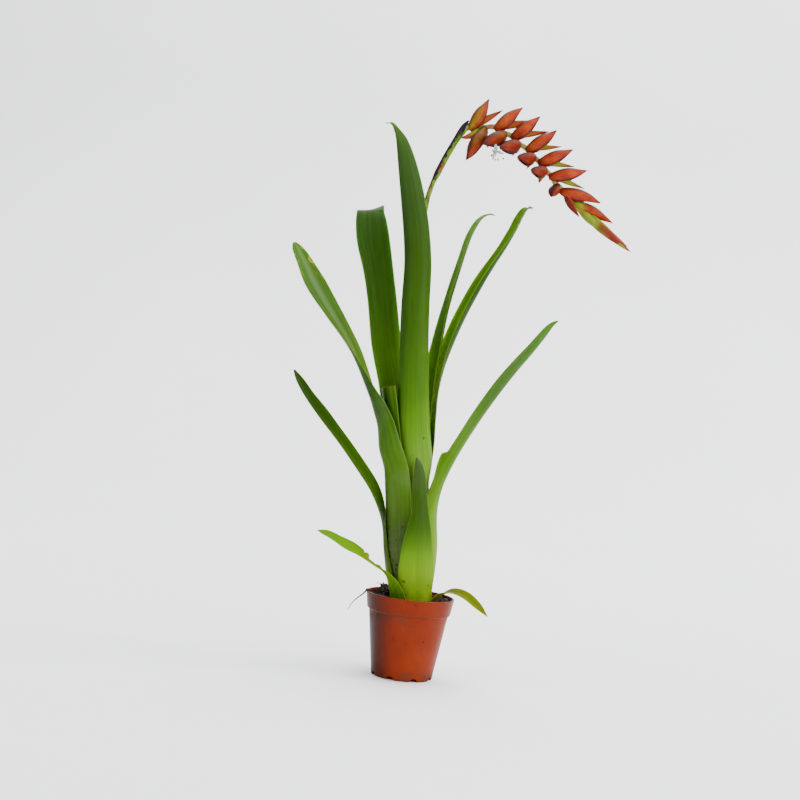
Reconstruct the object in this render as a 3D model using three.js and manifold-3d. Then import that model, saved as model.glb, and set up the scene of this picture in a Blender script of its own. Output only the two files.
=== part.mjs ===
// A potted bromeliad: a rosette of strap leaves with nested sheaths and an arching spike of
// orange bracts, in a small tapered plastic pot. Millimetres, +Z up. The origin is the centre
// of the pot's underside.
import * as THREE from "three";
import { mergeVertices } from "three/addons/utils/BufferGeometryUtils.js";
import { LoftGeometry } from "three/addons/geometries/LoftGeometry.js";
import Module from "manifold-3d";

const wasm = await Module();
wasm.setup();

// Driving dimensions of the pot
const POT_HEIGHT = 51;
const RIM_RADIUS = 27.5;
const COLLAR_HEIGHT = 10.5;
const COLLAR_FOOT_RADIUS = 25.9;
const COLLAR_STEP = 1.2;
const BASE_RADIUS = 19;
const WALL = 0.9;
const DRAIN_COUNT = 8;
const DRAIN_WIDTH = 6;
const DRAIN_HEIGHT = 2.6;
const POT_SEGMENTS = 40;

// Driving dimensions of the soil and of the place where the plant stands in it
const SOIL_DEPTH_BELOW_RIM = 4.5;
const SOIL_GAP = 0.4;
const HOLE_RADIUS = 16.8;
const HOLE_DEPTH = 12.5;
const PLANT_OFFSET = 1.2;
const PLANT_LEAN_DEG = -6.5;

// Driving dimensions of the rosette: each sheath is a shell one pitch outside the one before
const SHEATH_FIRST_RADIUS = 4.1;
const SHEATH_PITCH = 1.45;
const SHEATH_SWELL = 4.3;
const SWELL_FROM = -2;
const SWELL_TO = 32;
const SHEATH_HEIGHTS = [-9, 4, 18, 34, 55, 75];
const LEAF_THICKNESS = 0.9;
const MARGIN_THICKNESS = 0.6;

const deg = THREE.MathUtils.degToRad;

// Solids
function toSolid(geometry) {
  const bare = geometry.index ? geometry.toNonIndexed() : geometry.clone();
  const points = new THREE.BufferGeometry().setAttribute("position", bare.getAttribute("position"));
  const merged = mergeVertices(points, 1e-4);
  return new wasm.Manifold(
    new wasm.Mesh({
      numProp: 3,
      vertProperties: merged.attributes.position.array,
      triVerts: new Uint32Array(merged.index.array),
    }),
  );
}

function toGeometry(solid) {
  const mesh = solid.getMesh();
  const points = new Float32Array(mesh.numVert * 3);
  for (let i = 0; i < mesh.numVert; i++) {
    points.set(mesh.vertProperties.subarray(i * mesh.numProp, i * mesh.numProp + 3), i * 3);
  }
  const geometry = new THREE.BufferGeometry();
  geometry.setAttribute("position", new THREE.BufferAttribute(points, 3));
  geometry.setIndex(new THREE.BufferAttribute(new Uint32Array(mesh.triVerts), 1));
  geometry.computeVertexNormals();
  return geometry;
}

// Rows of numbers joined by a smooth curve: Hermite spans over the chord length of the first
// three columns, with the slope at a row taken from its two neighbours.
function smoothRows(rows, stepsPerSpan) {
  const at = [0];
  for (let i = 1; i < rows.length; i++) {
    at.push(at[i - 1] + Math.hypot(...[0, 1, 2].map((k) => rows[i][k] - rows[i - 1][k])));
  }
  const slope = rows.map((row, i) => {
    const a = Math.max(i - 1, 0);
    const b = Math.min(i + 1, rows.length - 1);
    return row.map((_, k) => (rows[b][k] - rows[a][k]) / (at[b] - at[a]));
  });
  const out = [];
  for (let i = 0; i + 1 < rows.length; i++) {
    const span = at[i + 1] - at[i];
    const last = i + 2 === rows.length ? stepsPerSpan : stepsPerSpan - 1;
    for (let j = 0; j <= last; j++) {
      const t = j / stepsPerSpan;
      const h10 = t * (1 - t) ** 2;
      const h01 = t * t * (3 - 2 * t);
      const h11 = t * t * (t - 1);
      out.push(
        rows[i].map(
          (p, k) =>
            p * (1 - h01) + rows[i + 1][k] * h01 + span * (slope[i][k] * h10 + slope[i + 1][k] * h11),
        ),
      );
    }
  }
  return out;
}

// A closed strip from two grids of points, the outer face and the inner face, split into
// triangles alike on both.
function stripGeometry(outer, inner) {
  const rows = outer.length;
  const cols = outer[0].length;
  const points = [...outer.flat(), ...inner.flat()];
  const id = (face, i, j) => face * rows * cols + i * cols + j;
  const index = [];
  const quad = (a, b, c, d) => index.push(a, b, c, a, c, d);
  for (let i = 0; i + 1 < rows; i++) {
    for (let j = 0; j + 1 < cols; j++) {
      const o = [id(0, i, j), id(0, i, j + 1), id(0, i + 1, j + 1), id(0, i + 1, j)];
      const n = [id(1, i, j), id(1, i, j + 1), id(1, i + 1, j + 1), id(1, i + 1, j)];
      index.push(o[0], o[1], o[2], o[0], o[2], o[3]);
      index.push(n[0], n[2], n[1], n[0], n[3], n[2]);
    }
    quad(id(1, i, 0), id(0, i, 0), id(0, i + 1, 0), id(1, i + 1, 0));
    const e = cols - 1;
    quad(id(0, i, e), id(1, i, e), id(1, i + 1, e), id(0, i + 1, e));
  }
  for (let j = 0; j + 1 < cols; j++) {
    quad(id(0, 0, j), id(1, 0, j), id(1, 0, j + 1), id(0, 0, j + 1));
    const r = rows - 1;
    quad(id(1, r, j), id(0, r, j), id(0, r, j + 1), id(1, r, j + 1));
  }
  const geometry = new THREE.BufferGeometry().setFromPoints(points);
  geometry.setIndex(index);
  return geometry;
}

// A blade bent along a path. A row is [x, y, z, half width, wrap, roll]. Across the blade the
// section is an arc that turns by wrap degrees on each side of the midrib, towards the axis of
// the plant, and roll turns it about the path. side is the width's direction on a level path.
function bladeGeometry(rows, side, columns, midThickness = LEAF_THICKNESS) {
  const outer = [];
  const inner = [];
  rows.forEach(([x, y, z, half, wrapDeg, rollDeg], i) => {
    const before = rows[Math.max(i - 1, 0)];
    const after = rows[Math.min(i + 1, rows.length - 1)];
    const along = new THREE.Vector3(
      after[0] - before[0],
      after[1] - before[1],
      after[2] - before[2],
    ).normalize();
    const across = side.clone().addScaledVector(along, -side.dot(along)).normalize();
    across.applyAxisAngle(along, deg(rollDeg));
    const towards = along.clone().cross(across);
    const wrap = deg(Math.max(wrapDeg, 1));
    const width = Math.max(half, 0.35);
    const radius = width / wrap;
    const faces = [[], []];
    for (let j = 0; j <= columns; j++) {
      const v = (2 * j) / columns - 1;
      const turn = v * wrap;
      const thick = MARGIN_THICKNESS + (midThickness - MARGIN_THICKNESS) * (1 - v * v);
      faces.forEach((face, k) => {
        const r = radius + ((k ? -1 : 1) * thick) / 2;
        face.push(
          new THREE.Vector3(x, y, z)
            .addScaledVector(towards, radius - r * Math.cos(turn))
            .addScaledVector(across, r * Math.sin(turn)),
        );
      });
    }
    outer.push(faces[0]);
    inner.push(faces[1]);
  });
  return stripGeometry(outer, inner);
}

// The radius of a sheath at a height: it swells above the foot, and all sheaths swell alike.
function sheathRadius(layer, z) {
  const swell = THREE.MathUtils.smoothstep(z, SWELL_FROM, SWELL_TO);
  return SHEATH_FIRST_RADIUS + layer * SHEATH_PITCH + SHEATH_SWELL * swell;
}

function sheathRows(leaf) {
  const a = deg(leaf.azimuth);
  return leaf.sheath.map((wrap, i) => {
    const z = SHEATH_HEIGHTS[i];
    const r = sheathRadius(leaf.layer, z);
    return [r * Math.cos(a), r * Math.sin(a), z, r * deg(wrap), wrap, 0];
  });
}

// The leaves, from the innermost sheath outwards. Azimuth 0 is to the right and 90 to the back.
// The sheath lists its wrap at each height in turn. Blade rows are [x, y, z, half width, wrap,
// roll] from the plant's foot at the soil line.
const LEAVES = [
  {
    name: "leaf_right_inner",
    azimuth: 40,
    layer: 0,
    columns: 6,
    sheath: [75, 75, 75, 75, 72, 66],
    blade: [
      [8, 6.6, 98, 8.6, 58, 0],
      [9.8, 7.4, 113, 8.2, 55, -4],
      [12.2, 7.6, 130, 8, 56, -10],
      [18, 8.6, 160, 7, 58, -20],
      [22.6, 10.6, 181, 5.8, 58, -22],
      [28.8, 13.6, 201.5, 5.2, 56, -22],
      [36.9, 17.5, 226.5, 4.8, 52, -20],
      [40.8, 19, 235, 4, 46, -15],
      [45, 20, 241, 2.8, 40, -10],
      [49.8, 21, 243.6, 1.6, 32, 0],
      [54, 22, 242.8, 0.4, 20, 0],
    ],
  },
  {
    name: "leaf_right_outer",
    azimuth: 38,
    layer: 1,
    columns: 6,
    sheath: [62, 62, 62, 62, 60, 57],
    blade: [
      [10.4, 7, 98, 9.4, 52, -2],
      [12.8, 7.4, 113, 9.2, 50, -6],
      [15.2, 8, 129, 9.2, 50, -12],
      [19.7, 8.4, 145, 9.6, 54, -18],
      [25.8, 8.8, 160.5, 10, 58, -20],
      [32.8, 9.2, 176, 10, 58, -20],
      [41, 9.6, 191.5, 9.8, 58, -20],
      [50, 10, 207, 8.8, 56, -20],
      [60, 10.4, 222.5, 7, 52, -20],
      [65.8, 10.8, 233, 6, 46, -18],
      [69.6, 11, 241, 4.4, 42, -14],
      [73, 11.2, 245.8, 2.4, 36, -8],
      [77, 11.4, 246.4, 0.4, 25, 0],
    ],
  },
  {
    name: "leaf_tall_front",
    azimuth: -92,
    layer: 2,
    columns: 8,
    sheath: [84, 84, 84, 84, 80, 76],
    blade: [
      [1, -11.8, 88, 15.5, 75, 0],
      [0.8, -11.4, 108, 14, 74, 0],
      [0.9, -11, 134, 12.8, 74, 0],
      [1.4, -11.2, 160, 11.2, 65, 0],
      [2.3, -11.6, 185, 10.3, 56, 0],
      [3.7, -12.2, 209, 9.5, 48, 0],
      [2.9, -13.4, 228, 9, 45, 0],
      [0.9, -15, 246.5, 8.2, 42, 0],
      [-1.4, -16.8, 261.5, 7, 40, 0],
      [-3.8, -18.4, 274, 5.4, 34, 0],
      [-6.1, -19.4, 283, 3.7, 30, 0],
      [-8.8, -19.9, 289, 1.9, 25, 0],
      [-12, -20, 293.4, 0.8, 20, 0],
      [-16.4, -19.6, 293.6, 0.4, 15, 0],
    ],
  },
  {
    name: "leaf_trimmed",
    azimuth: -165,
    layer: 3,
    columns: 6,
    sheath: [55, 55, 55, 55, 55, 58],
    blade: [
      [-14.4, -3.2, 105, 10.8, 62, 0],
      [-16.2, -3.1, 120, 11, 68, 0],
      [-18, -3, 133.4, 11, 72, 0],
    ],
  },
  {
    name: "leaf_folded_back",
    azimuth: 118,
    layer: 4,
    columns: 6,
    sheath: [75, 75, 75, 72, 66, 60],
    blade: [
      [-8.5, 13.4, 105, 13, 54, -3],
      [-12.6, 13.5, 134, 11, 52, -10],
      [-16.4, 14.4, 160, 10.5, 40, -16],
      [-18.6, 15.6, 187, 9.8, 30, -20],
      [-21.2, 17, 208, 10, 24, -20],
      [-24.2, 18.6, 226, 10.8, 18, -20],
      [-25.6, 20.4, 239, 10, 10, -20],
      [-25.9, 23.5, 246, 8.8, 5, -16],
      [-25.6, 28, 247, 8.8, 4, -10],
      [-25, 32, 241, 8.8, 8, 0],
      [-24, 34.5, 224, 6.5, 14, 0],
      [-23.4, 35, 204, 0.4, 12, 0],
    ],
  },
  {
    name: "leaf_left_upper",
    azimuth: -154,
    layer: 5,
    columns: 8,
    sheath: [65, 65, 65, 65, 65],
    blade: [
      [-14.6, -7, 72, 17.4, 64, 0],
      [-15.4, -7.2, 83, 16.4, 64, 0],
      [-18.6, -7.5, 95, 15.4, 72, 0],
      [-19.9, -7.2, 109, 11.9, 72, 0],
      [-22.9, -6.9, 120, 9.4, 72, 0],
      [-27.4, -7, 132, 8.4, 66, -22],
      [-37, -6, 156, 7.8, 54, -46],
      [-50.4, -5, 178.6, 8.6, 44, -63],
      [-61, -4, 197, 9.2, 36, -69],
      [-67.6, -3, 211.6, 6.8, 30, -69],
      [-71.4, -2.6, 219.6, 4.4, 24, -69],
      [-72.8, -2.4, 223.2, 1.4, 18, -69],
    ],
  },
  {
    name: "leaf_right_arching",
    azimuth: -12,
    layer: 5,
    columns: 6,
    sheath: [62, 62, 62, 62, 60],
    blade: [
      [17.6, -3.7, 68, 10.6, 64, -4],
      [22.6, -4, 81, 8.6, 66, -12],
      [31.6, -4.4, 97.6, 7, 62, -20],
      [45.6, -4.6, 119.4, 6.3, 54, -26],
      [61.2, -4.6, 140.4, 5.8, 46, -28],
      [75.2, -4.6, 156.8, 4.7, 40, -28],
      [83.6, -4.6, 166.6, 3.2, 34, -28],
      [89.8, -4.6, 174, 0.5, 25, -28],
    ],
  },
  {
    name: "leaf_left_lower",
    azimuth: 180,
    layer: 6,
    columns: 6,
    sheath: [50, 47, 40, 30],
    blade: [
      [-17.7, 0, 46, 7.6, 25, 0],
      [-20, 0.4, 58, 7.2, 30, -4],
      [-24.6, 1, 70, 7, 38, -12],
      [-31.8, 1.6, 81.6, 6.8, 42, -22],
      [-42, 2, 96.5, 6.8, 42, -28],
      [-54.6, 3, 113.8, 6.6, 38, -32],
      [-64.4, 3.6, 127.6, 5.4, 32, -32],
      [-70.4, 4, 138, 3.2, 26, -32],
      [-73.6, 4, 144.5, 0.5, 20, -32],
    ],
  },
  {
    name: "leaf_short_front",
    azimuth: -78,
    layer: 7,
    columns: 6,
    sheath: [45, 45, 42, 32],
    blade: [
      [4.8, -18.3, 47.5, 7.7, 24, 0],
      [5.3, -18, 57.2, 5.5, 20, 0],
      [5.2, -17.6, 66, 4.8, 20, 0],
      [4.9, -17.2, 77, 4.3, 22, 0],
      [4.1, -17.2, 86, 2.5, 20, 0],
      [2.9, -17.4, 90.4, 0.4, 15, 0],
    ],
  },
  {
    name: "leaf_small_left",
    azimuth: -124,
    layer: 8,
    columns: 4,
    sheath: [22],
    blade: [
      [-9, -13.4, 3, 6, 22, 0],
      [-12.2, -15.8, 13.6, 4.6, 28, -10],
      [-17, -16.8, 20.6, 3, 34, -30],
      [-22.4, -17.4, 24.8, 2.6, 34, -50],
      [-33.4, -18.6, 33, 3.4, 34, -62],
      [-42.6, -19.8, 38.4, 3.4, 34, -66],
      [-51, -20.6, 43.8, 2.4, 30, -66],
      [-57.4, -21, 46.6, 0.5, 20, -66],
    ],
  },
  {
    name: "leaf_small_right",
    azimuth: -28,
    layer: 8,
    columns: 4,
    sheath: [20],
    blade: [
      [14, -7.4, 0.5, 5.4, 20, 0],
      [18.4, -9.6, 5.6, 5, 24, 0],
      [24.8, -11.8, 7.4, 4.8, 28, 10],
      [32.8, -13.4, 5, 4.2, 30, 20],
      [40.6, -14.8, -1.2, 3, 26, 24],
      [46.2, -16, -6.8, 0.5, 20, 24],
    ],
  },
];

const STEPS_PER_SPAN = 2;

function leafGeometry(leaf) {
  const rows = smoothRows([...sheathRows(leaf), ...leaf.blade], STEPS_PER_SPAN);
  const a = deg(leaf.azimuth);
  const side = new THREE.Vector3(-Math.sin(a), Math.cos(a), 0);
  return bladeGeometry(rows, side, leaf.columns);
}

// A round body along a path of rows [x, y, z, radius].
function stalkGeometry(rows, sides) {
  const points = rows.map(([x, y, z]) => new THREE.Vector3(x, y, z));
  const seed = new THREE.Vector3(0, 1, 0);
  const sections = points.map((p, i) => {
    const along = points[Math.min(i + 1, points.length - 1)]
      .clone()
      .sub(points[Math.max(i - 1, 0)])
      .normalize();
    const u = seed.clone().addScaledVector(along, -seed.dot(along)).normalize();
    const w = along.clone().cross(u);
    const ring = [];
    for (let j = 0; j < sides; j++) {
      const t = (2 * Math.PI * j) / sides;
      ring.push(
        p
          .clone()
          .addScaledVector(u, rows[i][3] * Math.cos(t))
          .addScaledVector(w, rows[i][3] * Math.sin(t)),
      );
    }
    return ring;
  });
  return new LoftGeometry(sections, { capStart: true, capEnd: true });
}

// The flower stalk rises from a short stem in the soil, through the rosette, and arches to the
// right: [x, y, z, radius].
const STALK_ROWS = [
  [0, 0, -11.6, 8.5],
  [0, 0, -10.2, 8],
  [0, 0, -9.6, 2.9],
  [0, 0, 20, 2.5],
  [1, 0.5, 90, 2.2],
  [2, 1, 150, 2],
  [4.4, 1.5, 205, 1.7],
  [8.9, 2, 246, 1.6],
  [14, 2.2, 262.4, 1.55],
  [21.2, 2.4, 276, 1.6],
  [28, 2.6, 287.2, 1.8],
  [31.7, 2.7, 292.5, 2],
];

// The axis of the spike, from the end of the stalk to the last bud: [x, y, z, radius]
const AXIS_ROWS = [
  [32.2, 2.7, 293.5, 1.6],
  [36, 2.7, 295, 1.5],
  [43, 2.4, 295.8, 1.3],
  [52, 2, 294.9, 1.3],
  [60, 1.6, 290.8, 1.3],
  [68, 1.2, 284.4, 1.3],
  [76, 0.8, 276.8, 1.3],
  [84, 0.4, 267.4, 1.3],
  [92, 0, 257.6, 1.25],
  [100, -0.4, 248.6, 1.2],
  [110, -0.8, 240, 1.1],
  [119, -1.2, 233, 0.9],
];

// The bracts in two ranks. Each is [distance along the axis, opening from the axis (above it
// is positive), lean towards the front, length, calyx length].
const BRACTS = [
  [3, 35, 6, 22.5, 22],
  [12.5, -112, 30, 27, 18],
  [19, 47, 6, 21.5, 22],
  [27, -104, 50, 21, 0],
  [31, 67, 8, 22, 22],
  [37.5, -108, 55, 20, 17],
  [43, 69, 8, 22.5, 22],
  [50, -112, 58, 19, 17],
  [54, 64, 8, 23, 23],
  [61, -108, 60, 18, 16],
  [65, 53, 8, 24, 24],
  [72.5, -72, 54, 16, 17],
  [76, 28, 8, 27, 26],
  [81, -20, 30, 20, 0],
  [88, 14, 6, 26, 25],
  [92, -10, 8, 25, 0],
  [99, 6, 6, 28, 0],
  [106, -1, 4, 31, 0],
];
const BRACT_WIDTH = 11.2;
const END_BRACTS_FROM = 13;
const END_BRACT_NARROWING = 0.82;
const BRACT_THICKNESS = 0.7;
const BRACT_FOLD_DEG = 27;
const BRACT_BOW = 0.12;
const BRACT_COLUMNS = [-1, -0.4, 0.4, 1];
// A bract's width along it: [share of the length, share of the width]
const BRACT_OUTLINE = [
  [0, 0.42],
  [0.14, 0.76],
  [0.36, 1],
  [0.6, 0.86],
  [0.82, 0.46],
  [1, 0.06],
];

// The place and direction of the axis at a distance along it
function axisAt(distance) {
  const points = smoothRows(AXIS_ROWS, 3).map(([x, y, z]) => new THREE.Vector3(x, y, z));
  let left = distance;
  for (let i = 0; i + 1 < points.length; i++) {
    const span = points[i].distanceTo(points[i + 1]);
    if (left <= span || i + 2 === points.length) {
      const along = points[i + 1].clone().sub(points[i]).normalize();
      return [points[i].clone().addScaledVector(along, left), along];
    }
    left -= span;
  }
}

// A pointed bract folded along its keel, open towards the end of the spike. The fold is a
// rounded V, and the keel bows away from the open side.
function bractGeometry(foot, forward, open, length, width) {
  const sideways = open.clone().cross(forward);
  const fold = deg(BRACT_FOLD_DEG);
  const faces = [-1, 1].map((face) =>
    BRACT_OUTLINE.map(([s, wide]) =>
      BRACT_COLUMNS.map((v) => {
        const w = width * wide;
        const offset = (BRACT_THICKNESS / 2 / Math.sin(fold)) * (0.4 + 0.6 * wide);
        const depth = w * Math.cos(fold) * (Math.hypot(v, 0.25) - 0.25);
        const bow = BRACT_BOW * length * Math.sin(Math.PI * s);
        return foot
          .clone()
          .addScaledVector(forward, length * s)
          .addScaledVector(open, depth - bow + face * offset)
          .addScaledVector(sideways, w * Math.sin(fold) * v);
      }),
    ),
  );
  return stripGeometry(faces[0], faces[1]);
}

// A calyx: [share of the length, radius]
const CALYX_TURN_DEG = 25;
const CALYX_OUTLINE = [
  [0.04, 0.7],
  [0.3, 1.7],
  [0.58, 1.6],
  [0.84, 0.8],
  [1, 0.25],
];

// A bract with the calyx that lies in its fold, turned closer to the axis
function bractSolids([distance, opening, lean, length, calyx], i) {
  const [foot, along] = axisAt(distance);
  const above = new THREE.Vector3(-along.z, 0, along.x).normalize();
  const front = new THREE.Vector3(0, -1, 0);
  const aim = (turn, tilt) =>
    along
      .clone()
      .multiplyScalar(Math.cos(deg(turn)))
      .addScaledVector(above, Math.sin(deg(turn)))
      .multiplyScalar(Math.cos(deg(tilt)))
      .addScaledVector(front, Math.sin(deg(tilt)))
      .normalize();
  const forward = aim(opening, lean);
  const open = along.clone().addScaledVector(forward, -along.dot(forward)).normalize();
  const narrowing = i < END_BRACTS_FROM ? 1 : END_BRACT_NARROWING;
  const width = BRACT_WIDTH * Math.min(1, length / 22) * narrowing;
  const solids = [toSolid(bractGeometry(foot, forward, open, length, width))];
  if (calyx) {
    const hinge = forward.clone().cross(open).normalize();
    const inward = forward.clone().applyAxisAngle(hinge, deg(CALYX_TURN_DEG));
    const rows = CALYX_OUTLINE.map(([s, r]) => {
      const p = foot.clone().addScaledVector(inward, calyx * s);
      return [p.x, p.y, p.z, r];
    });
    solids.push(toSolid(stalkGeometry(rows, 5)));
  }
  return solids;
}

function spikeGeometry() {
  const axis = toSolid(stalkGeometry(smoothRows(AXIS_ROWS, 2), 6));
  const solids = [axis, ...BRACTS.flatMap(bractSolids)];
  return toGeometry(solids.reduce((whole, one) => whole.add(one)).simplify(0.03));
}

// One open flower below the axis: a narrow tube with three spreading petals
const FLOWER_FOOT = [52.6, -12.4, 280.6];
const FLOWER_AIM = [-0.12, -0.42, -0.9];
// The tube: [distance from the foot, radius]
const FLOWER_TUBE = [
  [0, 0.7],
  [3, 1.1],
  [5, 1],
];
// A petal: [distance from the foot, distance out from the tube's axis, half width]
const PETAL = [
  [3.4, 0.5, 0.7],
  [5.2, 0.7, 1.1],
  [6.8, 1.6, 1.3],
  [8, 3.1, 0.7],
];
const PETAL_COUNT = 3;
const PETAL_WRAP_DEG = 20;
const PETAL_THICKNESS = 0.6;

function flowerGeometry() {
  const foot = new THREE.Vector3(...FLOWER_FOOT);
  const aim = new THREE.Vector3(...FLOWER_AIM).normalize();
  const seed = new THREE.Vector3(0, -1, 0);
  const rows = FLOWER_TUBE.map(([s, r]) => [...foot.clone().addScaledVector(aim, s), r]);
  let flower = toSolid(stalkGeometry(rows, 6));
  for (let i = 0; i < PETAL_COUNT; i++) {
    const out = seed.clone().addScaledVector(aim, -seed.dot(aim)).normalize();
    out.applyAxisAngle(aim, ((i + 0.25) * 2 * Math.PI) / PETAL_COUNT);
    const side = aim.clone().cross(out);
    const petal = PETAL.map(([s, reach, half]) => {
      const p = foot.clone().addScaledVector(aim, s).addScaledVector(out, reach);
      return [...p, half, PETAL_WRAP_DEG, 0];
    });
    flower = flower.add(toSolid(bladeGeometry(petal, side, 2, PETAL_THICKNESS)));
  }
  return toGeometry(flower);
}

const plantMatrix = new THREE.Matrix4()
  .makeTranslation(PLANT_OFFSET, 0, POT_HEIGHT - SOIL_DEPTH_BELOW_RIM)
  .multiply(new THREE.Matrix4().makeRotationY(deg(PLANT_LEAN_DEG)));

function material(color, roughness) {
  return new THREE.MeshStandardMaterial({ color, roughness, metalness: 0 });
}
const potPlastic = material(0xb8502c, 0.5);
const soilBrown = material(0x241811, 1);
const leafGreen = material(0x4c7d12, 0.5);
const stalkGreen = material(0x5a5a26, 0.6);
const bractOrange = material(0xc4451c, 0.55);
const petalWhite = material(0xeef0ea, 0.6);

// The outer radius of the pot's wall at a height, below the collar
function bodyRadius(z) {
  const topRadius = COLLAR_FOOT_RADIUS - COLLAR_STEP;
  return THREE.MathUtils.mapLinear(z, 0, POT_HEIGHT - COLLAR_HEIGHT, BASE_RADIUS, topRadius);
}

// The inner radius of the collar at a height
function collarInnerRadius(z) {
  const foot = POT_HEIGHT - COLLAR_HEIGHT;
  return THREE.MathUtils.mapLinear(z, foot, POT_HEIGHT, COLLAR_FOOT_RADIUS, RIM_RADIUS) - WALL - 0.2;
}

// A tapered cup with a collar, and drain notches round the corner of its base
function potGeometry() {
  const step = POT_HEIGHT - COLLAR_HEIGHT;
  const r = (radius, z) => new THREE.Vector2(radius, z);
  const profile = [
    r(0, 0),
    r(BASE_RADIUS - 0.8, 0),
    r(BASE_RADIUS + 0.1, 0.9),
    r(bodyRadius(step), step),
    r(COLLAR_FOOT_RADIUS, step + 0.6),
    r(RIM_RADIUS - 0.2, POT_HEIGHT - 0.8),
    r(RIM_RADIUS - 0.4, POT_HEIGHT),
    r(collarInnerRadius(POT_HEIGHT), POT_HEIGHT),
    r(collarInnerRadius(step), step + 0.4),
    r(bodyRadius(step) - WALL, step - 0.4),
    r(BASE_RADIUS - WALL, WALL + 0.8),
    r(BASE_RADIUS - WALL - 0.8, WALL),
    r(0, WALL),
  ];
  let cup = toSolid(new THREE.LatheGeometry(profile, POT_SEGMENTS).rotateX(Math.PI / 2));
  for (let i = 0; i < DRAIN_COUNT; i++) {
    const notch = new THREE.CylinderGeometry(DRAIN_WIDTH / 2, DRAIN_WIDTH / 2, 6, 8);
    notch.scale(1, 1, DRAIN_HEIGHT / (DRAIN_WIDTH / 2));
    notch.rotateZ(Math.PI / 2);
    notch.translate(BASE_RADIUS, 0, 0);
    notch.rotateZ(((i + 0.5) * 2 * Math.PI) / DRAIN_COUNT);
    cup = cup.subtract(toSolid(notch));
  }
  return toGeometry(cup);
}

// Bark and peat: a body that fills the pot, lumpy on top, with two higher clumps at the rim and
// a plain hole where the plant stands.
// A clump: [x, y, height, reach]
const SOIL_CLUMPS = [
  [-16.5, 14, 7, 5.5],
  [17.5, 10, 4.5, 5],
];
function soilTop(x, y) {
  const waves = 0.5 * Math.sin(x * 0.9 + 1) * Math.cos(y * 1.1) + 0.35 * Math.sin(1.7 * x - 1.3 * y);
  const clumps = SOIL_CLUMPS.map(([cx, cy, height, reach]) => {
    const far = Math.hypot(x - cx, y - cy) / reach;
    return height * Math.exp(-far * far);
  });
  return POT_HEIGHT - SOIL_DEPTH_BELOW_RIM + waves + clumps.reduce((sum, h) => sum + h, 0);
}

function soilGeometry() {
  const step = POT_HEIGHT - COLLAR_HEIGHT;
  const top = POT_HEIGHT - SOIL_DEPTH_BELOW_RIM;
  const edge = collarInnerRadius(step) - SOIL_GAP;
  const bottom = WALL + SOIL_GAP;
  const profile = [
    [0, bottom],
    [BASE_RADIUS - WALL - SOIL_GAP - 1, bottom],
    [BASE_RADIUS - WALL - SOIL_GAP, bottom + 1.4],
    [bodyRadius(step) - WALL - SOIL_GAP, step - 0.6],
    [edge, step + 2.6],
    [edge, top],
    [edge - 3, top],
    [edge - 6, top],
    [edge - 9, top],
    [12, top],
    [6, top],
    [0, top],
  ];
  const body = new THREE.LatheGeometry(
    profile.map(([r, z]) => new THREE.Vector2(r, z)),
    POT_SEGMENTS,
  ).rotateX(Math.PI / 2);
  const points = body.attributes.position;
  for (let i = 0; i < points.count; i++) {
    if (points.getZ(i) > top - 0.01) points.setZ(i, soilTop(points.getX(i), points.getY(i)));
  }
  const hole = new THREE.CylinderGeometry(HOLE_RADIUS, HOLE_RADIUS, 40, 32).rotateX(Math.PI / 2);
  hole.translate(0, 0, 20 - HOLE_DEPTH).applyMatrix4(plantMatrix);
  return toGeometry(toSolid(body).subtract(toSolid(hole)));
}

const root = new THREE.Group();
const plant = new THREE.Group();
plant.applyMatrix4(plantMatrix);
root.add(plant);

function add(parent, name, geometry, look) {
  const mesh = new THREE.Mesh(geometry, look);
  mesh.name = name;
  parent.add(mesh);
}

add(root, "pot", potGeometry(), potPlastic);
add(root, "soil", soilGeometry(), soilBrown);
for (const leaf of LEAVES) add(plant, leaf.name, leafGeometry(leaf), leafGreen);
add(plant, "stalk", stalkGeometry(smoothRows(STALK_ROWS, 2), 8), stalkGreen);
add(plant, "spike", spikeGeometry(), bractOrange);
add(plant, "open_flower", flowerGeometry(), petalWhite);

export default root;
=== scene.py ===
"""A small bromeliad in flower in a tapered plastic pot, dressed around its solid model.

Shapes are worked out in millimetres, the plant's in its own leaning frame, and put into the
meshes in metres, +Z up. Reach runs from 0 at a piece's foot to 1 at its tip, and across from -1
at its low margin to 1 at its high one.
"""

import bpy
import numpy as np
from mathutils import Matrix


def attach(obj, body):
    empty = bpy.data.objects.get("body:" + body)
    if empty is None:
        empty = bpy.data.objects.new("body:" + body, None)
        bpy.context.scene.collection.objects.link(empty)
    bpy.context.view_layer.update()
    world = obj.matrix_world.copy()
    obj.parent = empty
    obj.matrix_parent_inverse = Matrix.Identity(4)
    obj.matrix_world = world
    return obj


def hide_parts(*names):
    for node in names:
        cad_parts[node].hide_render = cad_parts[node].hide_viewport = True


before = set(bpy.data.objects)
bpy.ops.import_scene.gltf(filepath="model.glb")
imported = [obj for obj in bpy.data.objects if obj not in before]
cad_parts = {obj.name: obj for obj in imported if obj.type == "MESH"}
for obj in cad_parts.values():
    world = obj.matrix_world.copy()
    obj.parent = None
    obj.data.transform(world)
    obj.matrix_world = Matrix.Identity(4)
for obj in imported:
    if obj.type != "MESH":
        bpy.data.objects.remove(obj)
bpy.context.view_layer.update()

# Pot and soil, millimetres
POT_HEIGHT = 51.0
RIM_RADIUS = 27.5
COLLAR_HEIGHT = 10.5
COLLAR_FOOT_RADIUS = 25.9
COLLAR_STEP = 1.2
BASE_RADIUS = 19.0
WALL = 0.9
DRAIN_COUNT = 8
DRAIN_WIDTH = 6.0
DRAIN_HEIGHT = 2.6
DRAIN_DEPTH = 3
POT_SIDES = 192
SHARP_ANGLE = np.radians(38)
SOIL_TOP = 46.5
SOIL_EDGE = 24.4
SOIL_RINGS = 60
SOIL_SIDES = 160
SOIL_CLUMPS = [[-16.5, 14, 7, 5.5], [17.5, 10, 4.5, 5]]

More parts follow.
